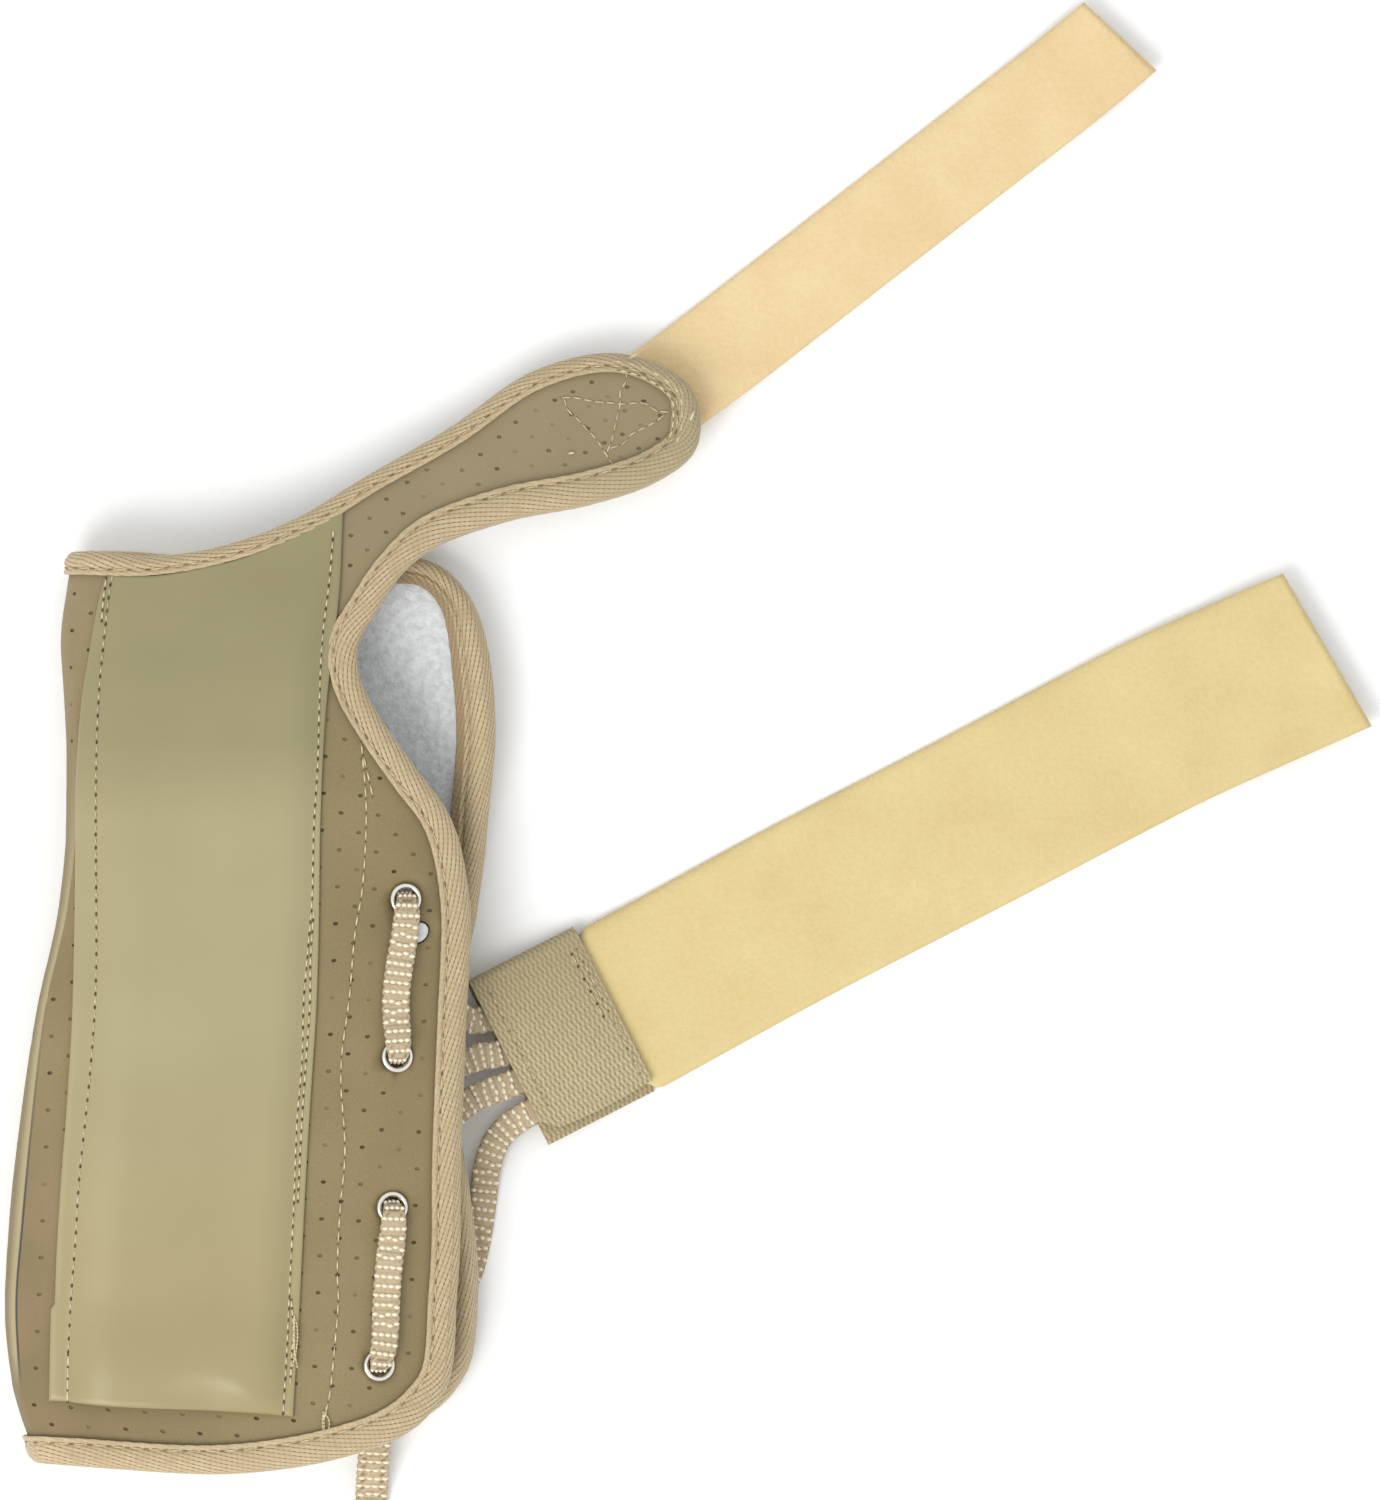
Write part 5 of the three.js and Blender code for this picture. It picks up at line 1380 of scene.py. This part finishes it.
def strap_piece(name, rows, columns, finish):
    """A strap as a closed band with rounded selvedges, and its length."""
    places, across, up, width, thick, run = ribbon_way(rows, STRAP["step"], square=False)
    share = np.linspace(-1, 1, columns)
    from_edge = (1 - np.abs(share)) * width[0] / 2
    half = 0.5 * thick[0] * np.clip(from_edge / STRAP["selvedge"], 0, 1) ** 0.5
    half = np.maximum(half, STRAP["thin"])
    ring_side = np.concatenate([share, share[::-1]])[::-1]
    ring_up = np.concatenate([-half, half[::-1]])[::-1]
    side = (0.5 * width[:, None] * ring_side)[..., None] * across[:, None]
    points = places[:, None] + side + ring_up[None, :, None] * up[:, None]
    piece = mesh_piece(name, points.reshape(-1, 3), band_faces(len(run), columns), finish)
    return piece, run[-1]


def loop_finish(name, light, dark):
    """Brushed loop pile: a soft speckle of light and dark loops over a woven ground."""
    finish = new_finish(name, light, Roughness=0.9, Sheen_Weight=0.35, Sheen_Roughness=0.4)
    spot = spot_in(finish)
    loops = noise(spot, 900, 4, 0.7)
    speckle = ranged(reckon("ADD", loops, noise(spot, 60, 3)), 0.7, 1.3)
    colour_finish(finish, two_tones(speckle, dark, light), loops, 0.6, 0.4)
    return finish


yellow_pile = loop_finish("yellow loop pile", srgb(217, 196, 142), srgb(207, 185, 129))
peach_pile = loop_finish("peach loop pile", srgb(228, 203, 156), srgb(219, 191, 142))
closure_rows = []
for along, across, narrower in CLOSURE_START:
    start = [(*on_tab(along, across), 0, 0)]
    closure_rows += strap_rows(start, CLOSURE_ACROSS, {**CLOSURE, "width": CLOSURE["width"] - narrower})
closure_rows += strap_rows(CLOSURE_WAY, CLOSURE_ACROSS, CLOSURE)
thumb_rows = strap_rows(THUMB_WAY, THUMB_ACROSS, THUMB)
closure, closure_length = strap_piece("closure_strap_pile", closure_rows, CLOSURE["columns"], yellow_pile)
thumb, thumb_length = strap_piece("thumb_strap_pile", thumb_rows, THUMB["columns"], peach_pile)
dress_node(closure, "closure_strap")
dress_node(thumb, "thumb_strap")

# Stitching
# Cream thread sews the lace edge and the pocket's right side, and tan thread its left side, the box on the
# neck, the tab and the binding. Each stitch lies between two needle holes, and a few loose ends stand at the
# ends of the rows.
STITCH = {"thread": 0.2, "arch": 0.45, "flat_arch": 0.3, "hole_sink": 0.07, "line_fine": 30}
# How far each row is off the face that it is sewn on
STITCH_LIFT = {"wrap": 0.02, "pocket": 0.06, "tab": -0.1, "tape": -0.2, "neck": -0.05}
NEEDLE = {"hole": 0.58, "mark": 0.3, "depth": 0.2}
LACE_SEAM = [
    (24.9, 59.6), (26, 44.4), (25.1, 26.7), (23.6, 17.8), (22.2, 2.2), (20.7, -8.9), (20.4, -15.6),
    (21.3, -31.1), (20.2, -44.4), (19.6, -57.8), (19.8, -64.4), (18.9, -75.6), (17.8, -85.6), (16.4, -91),
]
SECOND_SEAM = [(25.3, 56.7), (26.4, 52.2), (27.6, 46.7)]
BOX_ROWS = [
    [
        (69, 136.1), (71.8, 136.1), (76.3, 135.3), (80.5, 134.9), (82.4, 134.7), (87.6, 134.8), (90.4, 133.2),
        (92.7, 132.9),
    ],
    [(69.7, 136.4), (70.7, 133.4), (72.8, 131.3), (74.7, 129.2), (77, 126.8), (78.6, 124.3), (80.5, 121.4)],
    [(83.6, 142.8), (83.6, 140), (82.4, 137.6), (82.2, 134.4), (81.2, 130.1), (80.5, 126.8), (79.6, 124.5)],
    [(79.8, 124.7), (82.9, 125.9), (84.7, 127.8), (87.6, 129.4), (89.9, 130.6), (92.7, 132.7)],
]
LEFT_ROW = list(zip(LEFT_SEAM["x"], LEFT_SEAM["y"]))
RIGHT_ROW = list(zip(RIGHT_SEAM["x"], RIGHT_SEAM["y"]))
LEFT_END = (-30.4, 96)
SECOND_RIGHT = [(10.9, -42.2), (11.8, -24.4), (12.7, -11.1), (13.6, 2.2), (13.7, 11.1), (14.4, 22)]
LEFT_BACKSTITCH = [(-31.6, 95.8), (-32.2, 91), (-32.6, 86)]
RIGHT_BACKSTITCH = [(9.4, -64), (9.9, -70), (9.6, -76), (9.2, -82)]
# Rows across the tab: place along it, from and to across it, and whether its needle holes are deep
TAB_ROWS = [(23.4, 0, 17, True), (25, -15, 17, False), (3.2, -12, 16, False)]
TAB_ROW_STEPS = 40
# Rows sewn again round the neck's end: depth in from the tape's inner edge, and how they are sewn
NECK_AGAIN = [(0.45, (2.3, 0.7, 0.9)), (2.4, (2.9, 0.7, 0.9))]
NECK_END = {"x": 82, "y": 122}
# Pitch, the thread's share of it and the length of a needle hole
SEWN = {
    "lace edge": (3.2, 0.66, 0.2),
    "box": (2.5, 0.8, 0.2),
    "left": (2.95, 0.45, 1.0),
    "left start": (2.6, 0.95, 0.6),
    "left back": (2.4, 0.7, 0.8),
    "right": (2.6, 0.6, 0.95),
    "right again": (2.6, 0.66, 0.8),
    "right back": (1.9, 0.9, 0.5),
    "tab": (3.1, 0.55, 0.7),
    "tape": (4.2, 0.5, 1.5),
    "tangle": (0.8, 1.05, 0.1),
}


def speckled(name, colour, low, high, **sockets):
    """A finish of one colour with a speckle of two tones."""
    finish = new_finish(name, srgb(*colour), **sockets)
    colour_finish(finish, two_tones(noise(spot_in(finish), 700, 2), srgb(*low), srgb(*high), 0.35, 0.65))
    return finish


cream_tones = ((216, 203, 166), (188, 173, 135), (216, 203, 168))
tan_tones = ((196, 176, 140), (180, 158, 120), (206, 188, 154))
# Painted shade for the needle holes and for the needle marks on the tape
hole_shade_tones = ((84, 66, 40), (70, 54, 32), (100, 80, 50))
mark_shade_tones = ((108, 86, 54), (106, 84, 54), (146, 122, 84))
thread_cream = speckled("cream thread", *cream_tones, Roughness=0.6, Sheen_Weight=0.2)
thread_tan = speckled("tan thread", *tan_tones, Roughness=0.65, Sheen_Weight=0.2)
needle_hole_shade = speckled("needle hole", *hole_shade_tones, Roughness=0.9)
needle_mark_shade = speckled("needle mark", *mark_shade_tones, Roughness=0.9)

# A needle hole is a small pit drawn out along its row, in a finish of painted shade
hole_tree, hole_given, hole_output = new_tree("needle holes", ("Width", "Depth"))
hole_pit = add_node(
    hole_tree,
    "GeometryNodeMeshCone",
    {
        "Vertices": 8,
        "Side Segments": 1,
        "Fill Segments": 1,
        "Radius Top": 0.5,
        "Radius Bottom": 0.3,
        "Depth": 1.0,
    },
).outputs["Mesh"]
hole_sizes = (hole_given.outputs["Width"], hole_given.outputs["Depth"])
hole_set = set_on_points(hole_tree, hole_given, hole_pit, *hole_sizes)
close_tree(hole_tree, hole_set, hole_given, hole_output)


def sew(line, ups, stitch, thread_rows, hole_rows):
    """Adds one row of stitches along a line of points: a thread in each step, and a hole between two."""
    pitch, share, hole = stitch
    fine, run = evenly(np.hstack([line, ups]), pitch / 10)
    places, faces = fine[:, :3], fine[:, 3:]
    ways = np.gradient(places, axis=0)
    middles = [sampled(np.arange(pitch / 2, run[-1], pitch), run, values) for values in (places, ways, faces)]
    sunk = places - STITCH["hole_sink"] * faces
    betweens = [sampled(np.arange(0, run[-1], pitch), run, values) for values in (sunk, ways, faces)]
    lay(thread_rows, *middles, pitch * share)
    lay(hole_rows, *betweens, hole)


def palm_line(x_y, height):
    """A row over the palm half, from points of x and y and a height over the wrap, with the ways up."""
    line = spline(np.array(x_y, float), np.linspace(0, len(x_y) - 1, STITCH["line_fine"] * len(x_y)))
    u = palm_u(line[:, 0], line[:, 1])
    return place(u, line[:, 1], height(line[:, 0], line[:, 1])), outward(u, line[:, 1])


def tape_line(depth, lift, some=slice(None)):
    """A row along the binding, or some of it, so far in from its inner edge, with the ways up from it."""
    u, v = inset(tape_edge, tape_width - depth)[some].T
    return place(u, v, TAPE_TOP + lift), outward(u, v)


def on_wrap(x, y):
    """The wrap's own face."""
    return np.full(len(x), STITCH_LIFT["wrap"])


def on_pocket(x, y):
    """The pocket's upper face."""
    return pocket_lift(x, y) + POCKET["thick"] + STITCH_LIFT["pocket"]


def over_wrap(x, y):
    """A little over the wrap, as thread that crosses itself lies."""
    return 0.2 + 0.25 * np.abs(np.sin(3 * x + y))


def over_pocket(x, y):
    """A little over the pocket."""
    return on_pocket(x, y) + over_wrap(x, y) - 0.15


seams, needle_holes, tape_seam, tape_marks, loose_ends = (new_rows() for _ in range(5))
for x_y, height, kind, thread_rows, hole_rows in (
    (LACE_SEAM, on_wrap, "lace edge", seams, needle_holes),
    (SECOND_SEAM, on_wrap, "lace edge", seams, needle_holes),
    *((x_y, on_wrap, "box", tape_seam, tape_marks) for x_y in BOX_ROWS),
    ([*LEFT_ROW[1:], LEFT_END], on_pocket, "left", tape_seam, needle_holes),
    (LEFT_ROW[:2], on_pocket, "left start", seams, needle_holes),
    (LEFT_BACKSTITCH, on_pocket, "left back", seams, needle_holes),
    (RIGHT_ROW, on_pocket, "right", seams, needle_holes),
    (SECOND_RIGHT, on_pocket, "right again", seams, needle_holes),
    (RIGHT_BACKSTITCH, on_pocket, "right back", seams, needle_holes),
):
    sew(*palm_line(x_y, height), SEWN[kind], thread_rows, hole_rows)
for along, low, high, is_deep in TAB_ROWS:
    tab_row = on_tab(along, np.linspace(low, high, TAB_ROW_STEPS), tab_outer + STITCH_LIFT["tab"])
    tab_ups = np.tile(tab_up, (TAB_ROW_STEPS, 1))
    sew(tab_row, tab_ups, SEWN["tab"], tape_seam, needle_holes if is_deep else tape_marks)
sew(*tape_line(TAPE["row"], STITCH_LIFT["tape"]), SEWN["tape"], tape_seam, tape_marks)
at_neck_end = (tape_u + sleeve("crease", tape_v) > NECK_END["x"]) & (tape_v > NECK_END["y"])
for depth, stitch in NECK_AGAIN:
    sew(*tape_line(depth, STITCH_LIFT["neck"], at_neck_end), stitch, seams, tape_marks)

# Loose ends: bits of thread on the neck's end, and tangles at the ends of the lace seam and of the pocket's
# right seam. Bits are rows of x, y, lift, turn and length, and tangles of x, y, width, length, half turns
# and what they lie on.
LOOSE_BITS = [
    (85.2, 145.2, 1.5, 0.6, 2.2), (98.3, 131.8, 1.5, 1.2, 2.4),
    (71.5, 123.7, 0.2, 0.2, 1.5), (16.9, -89.6, 0.3, 1.2, 2),
]
LOOSE = {"thread": 0.3, "arch": 0.5, "rise": 0.1}
TANGLES = [(16.6, -92.4, 1.3, 3.4, 5.2, over_wrap), (10.1, -73.2, 0.8, 5.6, 4.6, over_pocket)]
for x, y, lift, turn, length in LOOSE_BITS:
    spot, up = palm_spot(x, y)
    lay(loose_ends, [spot + lift * up], [(math.cos(turn), math.sin(turn), LOOSE["rise"])], [up], length)
for x, y, wide, long, turns, height in TANGLES:
    turn = np.linspace(0, turns * math.pi, round(9 * turns))
    tangle_x = x + wide * np.sin(turn) * (0.5 + 0.5 * np.cos(0.37 * turn))
    tangle_y = y + long * np.cos(0.62 * turn + 0.4)
    sew(*palm_line(list(zip(tangle_x, tangle_y)), height), SEWN["tangle"], seams, new_rows())
for name, rows, finish, slot, thread, arch in (
    ("loose_thread", loose_ends, thread_cream, "braid", LOOSE["thread"], LOOSE["arch"]),
    ("seam_thread", seams, thread_cream, "braid", STITCH["thread"], STITCH["arch"]),
    ("tape_thread", tape_seam, thread_tan, "twill_tape", STITCH["thread"], STITCH["flat_arch"]),
):
    rows_piece(name, rows, thread_tree, finish, slot, Thread=thread, Arch=arch)
for name, rows, finish, width in (
    ("needle_holes", needle_holes, needle_hole_shade, NEEDLE["hole"]),
    ("needle_marks", tape_marks, needle_mark_shade, NEEDLE["mark"]),
):
    rows_piece(name, rows, hole_tree, finish, "twill_tape", Width=width, Depth=NEEDLE["depth"])
